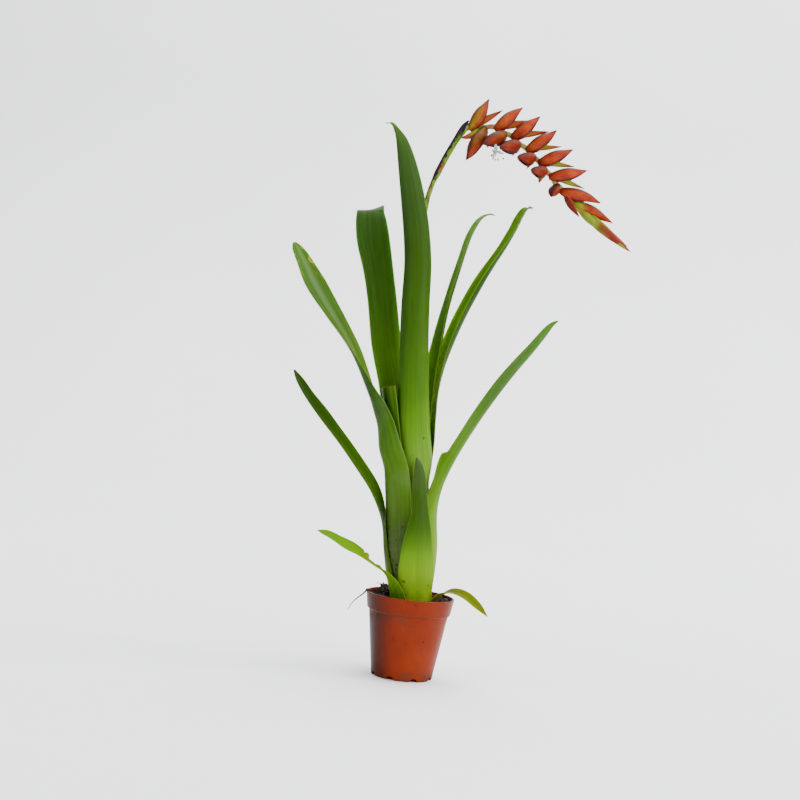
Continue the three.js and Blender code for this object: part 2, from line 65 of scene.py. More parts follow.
# The plant stands off the pot's axis and leans to the left
PLANT_FOOT = np.array([1.2, 0.0, SOIL_TOP])
PLANT_LEAN = np.radians(-6.5)

# Nested sheaths
SHEATH_FIRST_RADIUS = 4.1
SHEATH_PITCH = 1.45
SHEATH_SWELL = 4.3
SWELL_FROM = -2.0
SWELL_TO = 32.0
SHEATH_HEIGHTS = [-9, 4, 18, 34, 55, 75]
LEAF_THICKNESS = 0.9
MARGIN_THICKNESS = 0.35
LEAF_STEPS = 18
LEAF_SIDES = 64
LOW_WAVES = [9, 4.1]
HIGH_WAVES = [8, 4.7]
WAVES_START = 80
WAVES_FULL = 110


# Arrays

def unit(vectors):
    """Each vector divided by its length."""
    return vectors / np.maximum(np.linalg.norm(vectors, axis=-1, keepdims=True), 1e-12)


def smoothstep(value, low, high):
    """0 below low, 1 above high, and the cubic 3t^2 - 2t^3 between them."""
    t = np.clip((value - low) / (high - low), 0, 1)
    return t * t * (3 - 2 * t)


def bump(value, centre, width):
    """A bell exp(-((value - centre) / width)^2)."""
    return np.exp(-(((value - centre) / width) ** 2))


def smooth_rows(rows, steps):
    """Rows of numbers joined by Hermite cubics over the chord length of their first three
    columns. The slope at a row is the difference of its neighbours over their distance."""
    rows = np.array(rows, float)
    chord = np.linalg.norm(np.diff(rows[:, :3], axis=0), axis=1)
    at = np.concatenate([[0], np.cumsum(chord)])
    last = len(rows) - 1
    a = np.maximum(np.arange(last + 1) - 1, 0)
    b = np.minimum(np.arange(last + 1) + 1, last)
    slope = (rows[b] - rows[a]) / (at[b] - at[a])[:, None]
    t = (np.arange(steps) / steps)[None, :, None]
    span = chord[:, None, None]
    start, end = rows[:-1, None], rows[1:, None]
    leave, arrive = slope[:-1, None], slope[1:, None]
    blend = t * t * (3 - 2 * t)
    curve = start * (1 - blend) + end * blend
    curve = curve + span * (leave * t * (1 - t) ** 2 + arrive * t * t * (t - 1))
    return np.vstack([curve.reshape(-1, rows.shape[1]), rows[-1:]])


def lengths(points):
    """The distance along a path at each of its points."""
    return np.concatenate([[0], np.cumsum(np.linalg.norm(np.diff(points, axis=0), axis=1))])


def flat_section(sides):
    """Round a thin section: the share across, from -1 to 1; the face, 1 on the outer one and -1
    on the inner one with the margins rounded between them; and 1 for each inner point."""
    t = np.linspace(0, 2 * np.pi, sides, endpoint=False)
    face = np.sign(np.sin(t)) * np.abs(np.sin(t)) ** 0.4
    return -np.cos(t)[None, :], face, (np.sin(t) < 0).astype(float)[None, :]


def uneven(points, scale, seed, octaves=3):
    """Smooth unevenness from about -1 to 1: for each octave, the mean of six sines of the point's
    distance along seeded directions, each octave twice as fine and half as high."""
    rng = np.random.default_rng(seed)
    total, height = 0, 0
    for octave in range(octaves):
        turns = unit(rng.normal(size=(6, points.shape[-1]))) * (2 ** octave) / scale
        phase = rng.uniform(0, 2 * np.pi, 6)
        total = total + np.sin(points @ turns.T * 2 * np.pi + phase).mean(axis=-1) / 2 ** octave
        height += 1 / 2 ** octave
    return total * 1.8 / height


def plant_to_row(points):
    """Turns points by the lean about Y, then moves them to the plant's foot."""
    c, s = np.cos(PLANT_LEAN), np.sin(PLANT_LEAN)
    turn = np.array([[c, 0, s], [0, 1, 0], [-s, 0, c]])
    return points @ turn.T + PLANT_FOOT


# Skins: a skin is points, faces and the values that its materials read

def loft(grid, **values):
    """A closed skin over a grid of rings. Quads join each ring to the next one, and a fan to the
    ring's mean closes each end. A value for each grid point is kept with it."""
    rings, sides = grid.shape[:2]
    count = rings * sides
    points = np.vstack([grid.reshape(-1, 3), grid[0].mean(axis=0), grid[-1].mean(axis=0)])
    i, j = np.meshgrid(np.arange(rings - 1), np.arange(sides), indexing="ij")
    k = (j + 1) % sides
    quads = np.stack([i * sides + j, i * sides + k, (i + 1) * sides + k, (i + 1) * sides + j], -1)
    ring = np.arange(sides)
    ahead = (ring + 1) % sides
    foot = np.stack([ahead, ring, np.full(sides, count)], -1)
    tip = np.stack([ring, ahead, np.full(sides, count + 1 - (rings - 1) * sides)], -1)
    tip = tip + (rings - 1) * sides
    kept = {}
    for name, value in values.items():
        value = np.broadcast_to(value, (rings, sides))
        kept[name] = np.concatenate([value.ravel(), [value[0].mean(), value[-1].mean()]])
    return facing_out(points, [quads.reshape(-1, 4), np.vstack([foot, tip])], kept)


def facing_out(points, faces, values):
    """Turns every face round where the skin's signed volume is negative."""
    volume = 0
    for group in faces:
        for k in range(1, group.shape[1] - 1):
            a, b, c = points[group[:, 0]], points[group[:, k]], points[group[:, k + 1]]
            volume += np.einsum("ij,ij->", a, np.cross(b, c))
    if volume < 0:
        faces = [group[:, ::-1] for group in faces]
    return {"points": points, "faces": faces, "values": values}


def piece(name, skins, material, replaced=()):
    """One mesh object from skins that share their value names, in metres, smooth shaded, with
    across and reach as its UV map where it has them."""
    offset, points, groups, values = 0, [], [], {}
    for skin in skins:
        groups += [group + offset for group in skin["faces"]]
        points.append(skin["points"])
        offset += len(skin["points"])
        for key, value in skin["values"].items():
            values.setdefault(key, []).append(value)
    points = np.vstack(points) / 1000
    corners = np.concatenate([group.ravel() for group in groups]).astype(np.int32)
    sizes = np.concatenate([np.full(len(group), group.shape[1]) for group in groups])
    mesh = bpy.data.meshes.new(name)
    mesh.vertices.add(len(points))
    mesh.vertices.foreach_set("co", points.astype(np.float32).ravel())
    mesh.loops.add(len(corners))
    mesh.loops.foreach_set("vertex_index", corners)
    mesh.polygons.add(len(sizes))
    starts = np.concatenate([[0], np.cumsum(sizes)[:-1]]).astype(np.int32)
    mesh.polygons.foreach_set("loop_start", starts)
    mesh.polygons.foreach_set("use_smooth", np.ones(len(sizes), bool))
    values = {key: np.concatenate(value).astype(np.float32) for key, value in values.items()}
    for key, value in values.items():
        mesh.attributes.new(key, "FLOAT", "POINT").data.foreach_set("value", value)
    mesh.update(calc_edges=True)
    mesh.validate()
    if "across" in values and "reach" in values:
        flat = np.stack([values["across"] * 0.5 + 0.5, values["reach"]], -1)[corners]
        mesh.uv_layers.new(name="skin").data.foreach_set("uv", flat.astype(np.float32).ravel())
    mesh.materials.append(material)
    made = bpy.data.objects.new(name, mesh)
    bpy.context.scene.collection.objects.link(made)
    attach(made, "root")
    if replaced:
        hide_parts(*replaced)
    return made


def path_frame(centre, side):
    """For each point of a path: its direction, the side made square to it, and their cross."""
    along = unit(np.gradient(centre, axis=0))
    across = unit(side - along * (along @ side)[:, None])
    return along, across, np.cross(along, across)


def tube(rows, sides=24, **values):
    """A round body. Each row [x, y, z, radius] carries a circle square to the path."""
    rows = np.asarray(rows, float)
    _, u, w = path_frame(rows[:, :3], np.array([0, 1.0, 0]))
    turn = np.linspace(0, 2 * np.pi, sides, endpoint=False)[None, :, None]
    ring = u[:, None] * np.cos(turn) + w[:, None] * np.sin(turn)
    grid = rows[:, None, :3] + rows[:, None, 3:4] * ring
    reach = np.linspace(0, 1, len(rows))[:, None]
    round_it = np.linspace(-1, 1, sides)[None, :]
    return loft(plant_to_row(grid), reach=reach, across=round_it, **values)


# Leaves

def sheath_radius(layer, z):
    """First radius plus the layer's pitches plus the swell times a smoothstep of the height."""
    swell = smoothstep(np.asarray(z, float), SWELL_FROM, SWELL_TO)
    return SHEATH_FIRST_RADIUS + layer * SHEATH_PITCH + SHEATH_SWELL * swell


def sheath_rows(azimuth, layer, wraps):
    """Rows up the sheath: the radius at each height in the leaf's direction, with a half width
    of radius times wrap."""
    z = np.array(SHEATH_HEIGHTS[: len(wraps)], float)
    r = sheath_radius(layer, z)
    a, wrap = np.radians(azimuth), np.array(wraps, float)
    return np.stack([r * np.cos(a), r * np.sin(a), z, r * np.radians(wrap), wrap, 0 * z], -1)


def leaf_skin(azimuth, layer, sheath, blade, margins, waviness, seed):
    """A strap leaf. Along the smooth path of its rows goes an arc that turns by the wrap on each
    side of the midrib, its radius the half width over the wrap. The skin lies half the thickness
    outside and inside it, thick at the midrib and rounded off at the margins. Margins gives, for
    each reach, the factors that draw in or stretch the low and the high margin and how far the
    low one is raised, and slow waves lift both."""
    rows = smooth_rows(np.vstack([sheath_rows(azimuth, layer, sheath), blade]), LEAF_STEPS)
    centre = rows[:, :3]
    length = lengths(centre)
    reach = length / length[-1]
    a = np.radians(azimuth)
    along, across, _ = path_frame(centre, np.array([-np.sin(a), np.cos(a), 0]))
    roll = np.radians(rows[:, 5:6])
    across = across * np.cos(roll) + np.cross(along, across) * np.sin(roll)
    towards = np.cross(along, across)
    half, wrap = np.maximum(rows[:, 3], 0.12), np.radians(np.maximum(rows[:, 4], 1))
    v, face, inner = flat_section(LEAF_SIDES)
    v = np.broadcast_to(v, (len(rows), LEAF_SIDES))
    low, high, lifted = margins(reach)
    placed = np.where(v < 0, v * low[:, None], v * high[:, None])
    thick = MARGIN_THICKNESS + (LEAF_THICKNESS - MARGIN_THICKNESS) * (1 - v * v)
    thick = thick * np.minimum(1, half / 1.5)[:, None]
    lift = face * thick / 2
    radius = (half / wrap)[:, None]
    turn = placed * wrap[:, None]
    rng = np.random.default_rng(seed)
    phase = rng.uniform(0, 6, 4)
    (long, short), (other_long, other_short) = LOW_WAVES, HIGH_WAVES
    low_wave = np.sin(length / long + phase[0]) + 0.6 * np.sin(length / short + phase[1])
    high_wave = np.sin(length / other_long + phase[2]) + 0.6 * np.sin(length / other_short + phase[3])
    ripple = np.where(v < 0, low_wave[:, None], high_wave[:, None]) * np.abs(v) ** 3
    ripple = ripple * waviness * smoothstep(length, WAVES_START, WAVES_FULL)[:, None]
    ripple = ripple + lifted[:, None] * smoothstep(-v, 0.35, 1.0)
    inward = radius - (radius + lift) * np.cos(turn) + ripple
    sideways = (radius + lift) * np.sin(turn)
    grid = centre[:, None] + towards[:, None] * inward[..., None]
    grid = plant_to_row(grid + across[:, None] * sideways[..., None])
    return loft(grid, reach=reach[:, None], across=v, inner=inner, length=length[:, None])


def whole(reach):
    """Both margins as they grew."""
    return np.ones_like(reach), np.ones_like(reach), np.zeros_like(reach)


def torn_small_left(reach):
    """A thin waist where the upper margin is torn off, which ends in a ragged step, and a small
    nick in the blade after it."""
    ragged = 0.06 * np.sin(reach * 260) + 0.05 * np.sin(reach * 430 + 1)
    bite = smoothstep(reach, 0.44, 0.49) - smoothstep(reach, 0.552, 0.558)
    low = 1 - bite * (0.55 + ragged) - 0.3 * bump(reach, 0.6, 0.006)
    return low, np.ones_like(reach), np.zeros_like(reach)


def split_right_arching(reach):
    """A small tear at the near margin, where a flap stands up and ends in a step."""
    flap = smoothstep(reach, 0.4, 0.478) - smoothstep(reach, 0.48, 0.494)
    return 1 + 0.08 * flap, np.ones_like(reach), 2.1 * flap


# Each leaf: azimuth and layer, wraps up the sheath, blade rows [x, y, z, half width, wrap, roll],
# the function of its margins, and its waviness.
LEAVES = {
    "leaf_right_inner": (
        40, 0, [75, 75, 75, 75, 72, 66],
        [
            [8, 6.6, 98, 8.6, 58, 0],
            [9.8, 7.4, 113, 8.2, 55, -1],
            [12.2, 7.6, 130, 8, 56, -3],
            [18, 8.6, 160, 7, 58, -10],
            [22.6, 10.6, 181, 5.8, 58, -16],
            [28.8, 13.6, 201.5, 5.6, 54, -22],
            [36.9, 17.5, 226.5, 5.3, 48, -20],
            [40.8, 19, 235, 4.5, 42, -15],
            [45, 20, 241, 3.3, 36, -10],
            [49.8, 21, 243.6, 1.6, 32, 0],
            [54, 22, 242.8, 0.2, 20, 0],
        ],
        whole, 0.12,
    ),
    "leaf_right_outer": (
        38, 1, [62, 62, 62, 62, 60, 57],
        [
            [9.8, 6.6, 84, 9.6, 52, 0],
            [11.8, 7, 98, 9.4, 44, -2],
            [12.8, 7.4, 113, 9.2, 36, -6],
            [15.2, 8, 129, 9.2, 36, -12],
            [19.7, 8.4, 145, 9.6, 44, -18],
            [25.8, 8.8, 160.5, 10, 58, -20],
            [32.8, 9.2, 176, 10, 58, -20],
            [41, 9.6, 191.5, 9.8, 58, -20],
            [50, 10, 207, 9, 52, -20],
            [60, 10.4, 222.5, 7.8, 44, -20],
            [65.8, 10.8, 233, 7.1, 36, -18],
            [69.6, 11, 241, 6.1, 32, -14],
            [73, 11.2, 245.8, 4.3, 28, -8],
            [77, 11.4, 246.4, 0.2, 25, 0],
        ],
        whole, 0.12,
    ),
    "leaf_tall_front": (
        -92, 2, [84, 84, 84, 84, 80, 76],
        [
            [1, -11.8, 88, 15.5, 75, 0],
            [0.8, -11.4, 108, 14, 74, 0],
            [0.9, -11, 134, 12.8, 74, 0],
            [1.4, -11.2, 160, 11.2, 65, 0],
            [2.3, -11.6, 185, 10.3, 56, 0],
            [3.7, -12.2, 209, 9.5, 48, 0],
            [2.9, -13.4, 228, 9, 45, 0],
            [0.9, -15, 246.5, 8.2, 42, 0],
            [-1.4, -16.8, 261.5, 7, 40, 0],
            [-3.8, -18.4, 274, 5.4, 34, 0],
            [-6.1, -19.4, 283, 3.7, 30, 0],
            [-8.8, -19.9, 289, 1.9, 25, 0],
            [-12, -20, 293.4, 0.8, 20, 0],
            [-16.4, -19.6, 293.6, 0.2, 15, 0],
        ],
        whole, 0.14,
    ),
    "leaf_trimmed": (
        -165, 3, [55, 55, 55, 55, 55, 58],
        [
            [-14.4, -3.2, 105, 10.8, 62, 0],
            [-16.2, -3.1, 120, 11, 68, 0],
            [-18, -3, 133.4, 11, 72, 0],
        ],
        whole, 0.08,
    ),
    "leaf_folded_back": (
        118, 4, [75, 75, 75, 72, 66, 60],
        [
            [-8.5, 13.4, 105, 13, 54, -3],
            [-12.6, 13.5, 134, 11, 52, -10],
            [-16.4, 14.4, 160, 10.5, 40, -16],
            [-18.6, 15.6, 187, 9.8, 30, -20],
            [-21.2, 17, 208, 10, 24, -20],
            [-24.2, 18.6, 226, 10.8, 18, -20],
            [-25.6, 20.4, 239, 10, 10, -20],
            [-25.9, 23.5, 246, 8.8, 5, -16],
            [-25.6, 28, 247, 8.8, 4, -10],
            [-25, 32, 241, 8.8, 8, 0],
            [-24, 34.5, 224, 6.5, 14, 0],
            [-23.4, 35, 204, 0.2, 12, 0],
        ],
        whole, 0.16,
    ),
    "leaf_left_upper": (
        -154, 5, [65, 65, 65, 65, 65],
        [
            [-14.6, -7, 72, 17.4, 64, 0],
            [-15.4, -7.2, 83, 16.4, 64, 0],
            [-18.6, -7.5, 95, 15.4, 72, 0],
            [-19.9, -7.2, 109, 11.9, 72, 0],
            [-22.9, -6.9, 120, 9.4, 72, 0],
            [-27.4, -7, 132, 8.4, 66, -22],
            [-37, -6, 156, 7.8, 54, -46],
            [-50.4, -5, 178.6, 8.6, 44, -63],
            [-61, -4, 197, 9.2, 36, -69],
            [-67.6, -3, 211.6, 6.8, 30, -69],
            [-71.4, -2.6, 219.6, 4.4, 24, -69],
            [-72.8, -2.4, 223.2, 1.4, 18, -69],
        ],
        whole, 0.1,
    ),
    "leaf_right_arching": (
        -12, 5, [62, 62, 62, 62, 60],
        [
            [17.6, -3.7, 68, 10.6, 64, -4],
            [22.6, -4, 81, 8.6, 66, -12],
            [31.6, -4.4, 97.6, 7, 62, -20],
            [45.6, -4.6, 119.4, 6.6, 54, -26],
            [61.2, -4.6, 140.4, 6.1, 46, -28],
            [75.2, -4.6, 156.8, 5.1, 40, -28],
            [83.4, -4.6, 167, 4.1, 34, -28],
            [87.4, -4.6, 171.8, 2.4, 30, -28],
            [91, -4.6, 174.4, 0.3, 25, -28],
        ],
        split_right_arching, 0.1,
    ),
    "leaf_left_lower": (
        180, 6, [50, 47, 40, 30],
        [
            [-17.7, 0, 46, 7.6, 25, 0],
            [-20, 0.4, 58, 7.2, 30, -16],
            [-24.6, 1, 70, 7, 38, -26],
            [-31.8, 1.6, 81.6, 6.8, 42, -29],
            [-42, 2, 96.5, 6.8, 42, -28],
            [-54.6, 3, 113.8, 6.6, 38, -32],
            [-64.4, 3.6, 127.6, 5.4, 32, -32],
            [-70.4, 4, 138, 3.9, 26, -32],
            [-73.4, 4, 144.4, 1, 20, -32],
        ],
        whole, 0.12,
    ),
    "leaf_short_front": (
        -78, 7, [45, 45, 42, 32],
        [
            [4.8, -18.3, 47.5, 7.7, 24, 0],
            [5.3, -18, 57.2, 5.5, 20, 0],
            [5.2, -17.6, 66, 4.8, 20, 0],
            [4.9, -17.2, 77, 4.3, 22, 0],
            [4.1, -17.2, 86, 2.5, 20, 0],
            [2.9, -17.4, 90.4, 0.4, 15, 0],
        ],
        whole, 0.0,
    ),
    "leaf_small_left": (
        -124, 8, [22],
        [
            [-9, -13.4, 3, 6, 22, 0],
            [-12.2, -15.8, 13.6, 4.6, 28, -10],
            [-17, -16.8, 20.6, 3, 34, -30],
            [-22.4, -17.4, 24.8, 4.2, 34, -50],
            [-33.4, -18.6, 33, 5.3, 34, -62],
            [-42.6, -19.8, 38.4, 4.8, 34, -66],
            [-51, -20.6, 43.8, 3.3, 30, -66],
            [-57.4, -21, 46.6, 0.3, 20, -66],
        ],
        torn_small_left, 0.0,
    ),
    "leaf_small_right": (
        -28, 8, [20],
        [
            [14, -7.4, 0.5, 5.4, 20, 0],
            [18.4, -9.6, 5.6, 5, 24, 0],
            [24.8, -11.8, 7.4, 4.8, 28, 10],
            [32.8, -13.4, 5, 4.2, 30, 20],
            [40.6, -14.8, -1.2, 3, 26, 24],
            [46.2, -16, -6.8, 0.3, 20, 24],
        ],
        whole, 0.0,
    ),
}

# Stalk and spike, [x, y, z, radius]
STALK_ROWS = [
    [0, 0, -11.6, 8.5],
    [0, 0, -10.2, 8],
    [0, 0, -9.6, 2.9],
    [0, 0, 20, 2.5],
    [1, 0.5, 90, 2.2],
    [2, 1, 150, 2],
    [4.4, 1.5, 205, 1.7],
    [8.9, 2, 246, 1.6],
    [14, 2.2, 262.4, 1.55],
    [21.2, 2.4, 276, 1.6],
    [28, 2.6, 287.2, 1.8],
    [31.7, 2.7, 292.5, 2],
    [34.2, 2.7, 295.6, 1.9],
    [36.2, 2.6, 297.4, 1.1],
]
STALK_JOINTS = [205, 247, 268, 282]
SHEATH_TIP = [[31.7, 2.4, 292.8, 2.1], [33.8, 1.8, 295.8, 1.9], [36.8, 0.6, 298.6, 1.2]]
SHEATH_FACING = np.radians(134)
SHEATH_SPREAD = np.radians(130)
AXIS_ROWS = [
    [32.2, 2.7, 293.5, 1.6],
    [36, 2.7, 295, 1.5],
    [43, 2.4, 295.8, 1.3],
    [52, 2, 294.9, 1.3],
    [60, 1.6, 290.8, 1.3],
    [68, 1.2, 284.4, 1.3],
    [76, 0.8, 276.8, 1.3],
    [84, 0.4, 267.4, 1.3],
    [92, 0, 257.6, 1.25],
    [100, -0.4, 248.6, 1.2],
    [110, -0.8, 240, 1.1],
    [119, -1.2, 233, 0.9],
]

# Bracts: distance along the axis, opening from the axis, lean to the front, length, share of
# the width, how far its margins close, calyx length (0 for none), share of the calyx's width,
# how red the calyx is, how yellow and how green the bract is.
BRACTS = [
    [3, 35, 6, 22.5, 1, 0.3, 24.5, 1.3, 0.9, 1, 0],
    [12.5, -112, 28, 29, 1.05, 0.75, 15, 1.1, 0.4, 0.8, 0],
    [19, 47, 6, 22, 1, 0.3, 26.5, 1.35, 0.95, 0.2, 0],
    [26, -110, 44, 24, 1.15, 1, 0, 1, 0, 0.35, 0],
    [31, 67, 8, 22, 1, 0.3, 24, 1.15, 0.85, 0.12, 0],
    [37, -110, 50, 22, 1.12, 1, 12.5, 1, 0.1, 0.1, 0],
    [43, 69, 8, 22.5, 1, 0.3, 23, 1, 0.6, 0.1, 0],
    [50, -113, 55, 20, 1.12, 1, 12.5, 1, 0.1, 0.1, 0],
    [54, 64, 8, 23, 1, 0.3, 23.5, 1, 0.1, 0.05, 0],
    [61, -108, 58, 19, 1.1, 1, 13.5, 1.1, 0, 0.1, 0],
    [65, 53, 8, 24, 1, 0.3, 24, 1, 0, 0.05, 0],
    [72.5, -64, 44, 15, 1.1, 0.8, 0, 1, 0, 0.1, 0],
    [76, 28, 8, 27, 0.92, 0.3, 22.5, 1, 0, 0.05, 0],
    [80, -13, 22, 20, 0.52, 0.6, 0, 1, 0, 0.1, 0.1],
    [86, 14, 6, 30, 0.78, 0.5, 0, 1, 0, 0.2, 0.4],
    [91, -5, 10, 25, 0.5, 0.75, 0, 1, 0, 0.2, 1],
    [94, -2, 6, 41.5, 0.62, 0.6, 0, 1, 0, 0.3, 0.5],
    [100, -4, 8, 34, 0.44, 0.75, 0, 1, 0, 0.3, 0.8],
    [106, -2, 4, 26, 0.4, 0.65, 0, 1, 0, 0.3, 0.5],
]

# Where a row holds its calyx length; the opening past which a bract is in the lower rank; how far
# that rank is rolled; the grid of a bract, its width, the length from which it has full width,
# and the turn of its fold.
CALYX_LENGTH = 6
LOWER_OPENING = -50
LOWER_ROLL = 32
BRACT_RINGS = 34
BRACT_SIDES = 44
BRACT_WIDTH = 11.2
FULL_WIDTH_LENGTH = 22
BRACT_THICKNESS = 0.6
BRACT_FOLD = np.radians(27)
BRACT_BOW = 0.12
BRACT_OUTLINE = [[0, 0.42], [0.14, 0.76], [0.36, 1], [0.6, 0.86], [0.82, 0.46], [1, 0.04]]
SMALL_BRACT = [[41, -1.6, 294], [31, 0.2, 288.4]]
CALYX_TURN = 25
CALYX_OUTLINE = [[0.04, 0.7], [0.3, 1.7], [0.58, 1.6], [0.84, 0.8], [1, 0.15]]


def along_axis(distance):
    """The point and the direction of the spike's axis at a distance along it."""
    points = smooth_rows(AXIS_ROWS, 12)[:, :3]
    at = lengths(points)
    point = np.array([np.interp(distance, at, points[:, k]) for k in range(3)])
    ahead = np.array([np.interp(distance + 1, at, points[:, k]) for k in range(3)])
    return point, unit(ahead - point)


def curve_through(table, t):
    """The values of a two-column table at t, joined by Hermite cubics."""
    dense = smooth_rows([[a, 0, 0, b] for a, b in table], 12)
    return np.interp(t, dense[:, 0], dense[:, 3])


def bract_aim(distance, opening, lean, closed):
    """The bract's foot, its direction, the direction that its fold opens to and the one across.
    A bract of the lower rank is rolled, the more the further it is closed, so that its flank
    faces the front."""
    foot, along = along_axis(distance)
    above = unit(np.array([-along[2], 0, along[0]]))
    turn, tilt = np.radians(opening), np.radians(lean)
    level = along * np.cos(turn) + above * np.sin(turn)
    forward = unit(level * np.cos(tilt) + np.array([0, -1, 0]) * np.sin(tilt))
    open_way = unit(along - forward * (along @ forward))
    sideways = np.cross(open_way, forward)
    roll = np.radians(LOWER_ROLL * closed) if opening < LOWER_OPENING else 0
    open_way = open_way * np.cos(roll) + sideways * np.sin(roll)
    return foot, forward, open_way, np.cross(open_way, forward)


def bract_skin(index, row):
    """A boat-shaped bract. Its section is a rounded V: the depth is the half width times
    cos(fold) times hypot(v, 0.25) - 0.25, and the flanks belly out by a sine of v. A closed one
    has flanks that follow a half sine and meet again at the margins. The keel bows away from the
    open side by a sine of the reach, and the tip curls the same way."""
    distance, opening, lean, length, share, closed, *_, yellow, green = row
    foot, forward, open_way, sideways = bract_aim(distance, opening, lean, closed)
    width = BRACT_WIDTH * min(1, length / FULL_WIDTH_LENGTH) * share
    reach = (1 - np.cos(np.linspace(0, np.pi, BRACT_RINGS))) / 2
    reach = np.linspace(0, 1, BRACT_RINGS) * 0.5 + reach * 0.5
    v, face, inner = flat_section(BRACT_SIDES)
    wide = curve_through(BRACT_OUTLINE, reach)[:, None]
    w = width * wide
    rng = np.random.default_rng(100 + index)
    thick = BRACT_THICKNESS * (0.35 + 0.65 * (1 - v * v)) * (0.25 + 0.75 * wide)
    depth = w * np.cos(BRACT_FOLD) * (np.hypot(v, 0.25) - 0.25)
    depth = depth - face * thick / 2 / np.sin(BRACT_FOLD) * 0.6
    bow = BRACT_BOW * length * np.sin(np.pi * reach)[:, None]
    curl = 0.035 * length * smoothstep(reach, 0.75, 1)[:, None] * rng.uniform(-0.3, 1)
    flare = w * np.sin(BRACT_FOLD) * v + 0.17 * w * np.sin(np.pi * np.abs(v)) * np.sign(v)
    meet = 0.46 * w * np.sin(0.93 * np.pi * np.abs(v) ** 0.8) * np.sign(v)
    out = flare * (1 - closed) + meet * closed + face * thick * np.sign(v) * 0.3
    wave = 0.12 * np.sin(reach * 9 + rng.uniform(0, 6))[:, None] * v * v
    grid = foot + forward * (length * reach)[:, None, None]
    grid = grid + open_way * (depth - bow - curl + wave)[..., None] + sideways * out[..., None]
    return loft(
        plant_to_row(grid), reach=reach[:, None], across=v, inner=inner,
        yellow=yellow, green=green, lower=float(opening < LOWER_OPENING),
    )


def calyx_skin(row):
    """A spindle in the bract's fold, turned towards the axis of the spike: its radius follows
    the calyx outline, and three shallow grooves part its lobes."""
    distance, opening, lean, _, _, closed, calyx, stout, red, _, _ = row
    foot, forward, open_way, _ = bract_aim(distance, opening, lean, closed)
    swing = np.radians(CALYX_TURN + 10 * (opening < LOWER_OPENING) - 12 * (0 < opening < 30))
    inward = forward * np.cos(swing) + open_way * np.sin(swing)
    reach = np.linspace(0.04, 1, 24)
    radius = stout * curve_through(CALYX_OUTLINE, reach)
    turn = np.linspace(0, 2 * np.pi, 18, endpoint=False)
    lobes = 1 - 0.1 * np.cos(3 * turn)[None, :]
    u = unit(np.cross(inward, [0, 1.0, 0]))
    w = np.cross(inward, u)
    ring = u * np.cos(turn)[:, None] + w * np.sin(turn)[:, None]
    grid = foot + inward * (calyx * reach)[:, None, None]
    grid = grid + ring[None] * (radius[:, None] * lobes)[..., None]
    return loft(plant_to_row(grid), reach=reach[:, None], across=np.cos(turn)[None, :], red=red)


def spike_axis_skin():
    """The axis with a swelling at each bract: its radius grows by a bell at the bract's foot,
    and the path steps towards the bract, which gives the zigzag."""
    rows = smooth_rows(AXIS_ROWS, 14)
    at = lengths(rows[:, :3])
    for distance, opening, *_ in BRACTS:
        near = bump(at, distance, 3.0)
        _, along = along_axis(distance)
        above = np.array([-along[2], 0, along[0]]) * np.sign(opening)
        rows[:, :3] += 0.5 * near[:, None] * above
        rows[:, 3] += 0.35 * near
    return tube(rows, 20)


def stalk_skin():
    """The round stalk, a little uneven, thicker at its old joints."""
    rows = smooth_rows(STALK_ROWS, 14)
    height = rows[:, 2]
    for joint in STALK_JOINTS:
        rows[:, 3] += 0.16 * bump(height, joint, 2.2)
    return tube(rows, 28)


def stalk_sheath_skin():
    """The pointed bract that clasps the end of the stalk: an arc round the stalk, on its upper
    left side, that lies close at its foot and narrows to nothing at its tip."""
    path = smooth_rows([row for row in STALK_ROWS if 262 < row[2] < 290] + SHEATH_TIP, 14)
    _, u, w = path_frame(path[:, :3], np.array([0, 1.0, 0]))
    reach = lengths(path[:, :3])
    reach = reach / reach[-1]
    v, face, _ = flat_section(36)
    spread = SHEATH_SPREAD * np.clip(1 - reach, 0, 1)[:, None] ** 0.35 + 0.02
    lift = face * 0.22
    clear = 0.04 + 0.96 * smoothstep(reach, 0, 0.12)[:, None]
    radius = path[:, 3:4] + (0.42 + lift[None, :]) * clear
    angle = SHEATH_FACING + v * spread
    ring = u[:, None] * np.cos(angle)[..., None] + w[:, None] * np.sin(angle)[..., None]
    grid = path[:, None, :3] + radius[..., None] * ring
    return loft(plant_to_row(grid), reach=reach[:, None], across=v)


def small_bract_skin():
    """The small orange bract below the first pair: a folded leaf with a short straight keel,
    its width a sine of the reach."""
    foot, tip = np.array(SMALL_BRACT)
    forward = unit(tip - foot)
    open_way = unit(np.cross([0, 1.0, 0], forward))
    sideways = np.cross(open_way, forward)
    reach = np.linspace(0, 1, 20)
    v, face, _ = flat_section(28)
    w = 4.4 * np.sin(np.pi * (0.14 + 0.86 * reach))[:, None] ** 0.8 + 0.05
    depth = -w * (np.hypot(v, 0.3) - 0.3) - face * 0.25
    grid = foot + forward * (np.linalg.norm(tip - foot) * reach)[:, None, None]
    grid = grid + open_way * depth[..., None] + sideways * (0.5 * w * v)[..., None]
    kept = {"inner": 0, "yellow": 0.7, "green": 0.42, "lower": 0}
    return loft(plant_to_row(grid), reach=reach[:, None], across=v, **kept)


# The open flower: where its tube starts and points; the tube's rows [distance, radius]; the
# petal's rows [distance, distance out, half width]; how far its threads reach and spread.
FLOWER_FOOT = np.array([51.6, -9.6, 282.6])
FLOWER_AIM = unit(np.array([0.02, -0.42, -0.9]))
FLOWER_TUBE = [[0, 0.7], [3, 1.1], [5, 1]]
PETAL = [[3, 0.5, 0.7], [4.6, 0.9, 1.1], [5.8, 2.2, 1.3], [6.4, 4, 0.9], [6.2, 5, 0.1]]
THREAD_REACH = 8.4
THREAD_SPREAD = 3.1


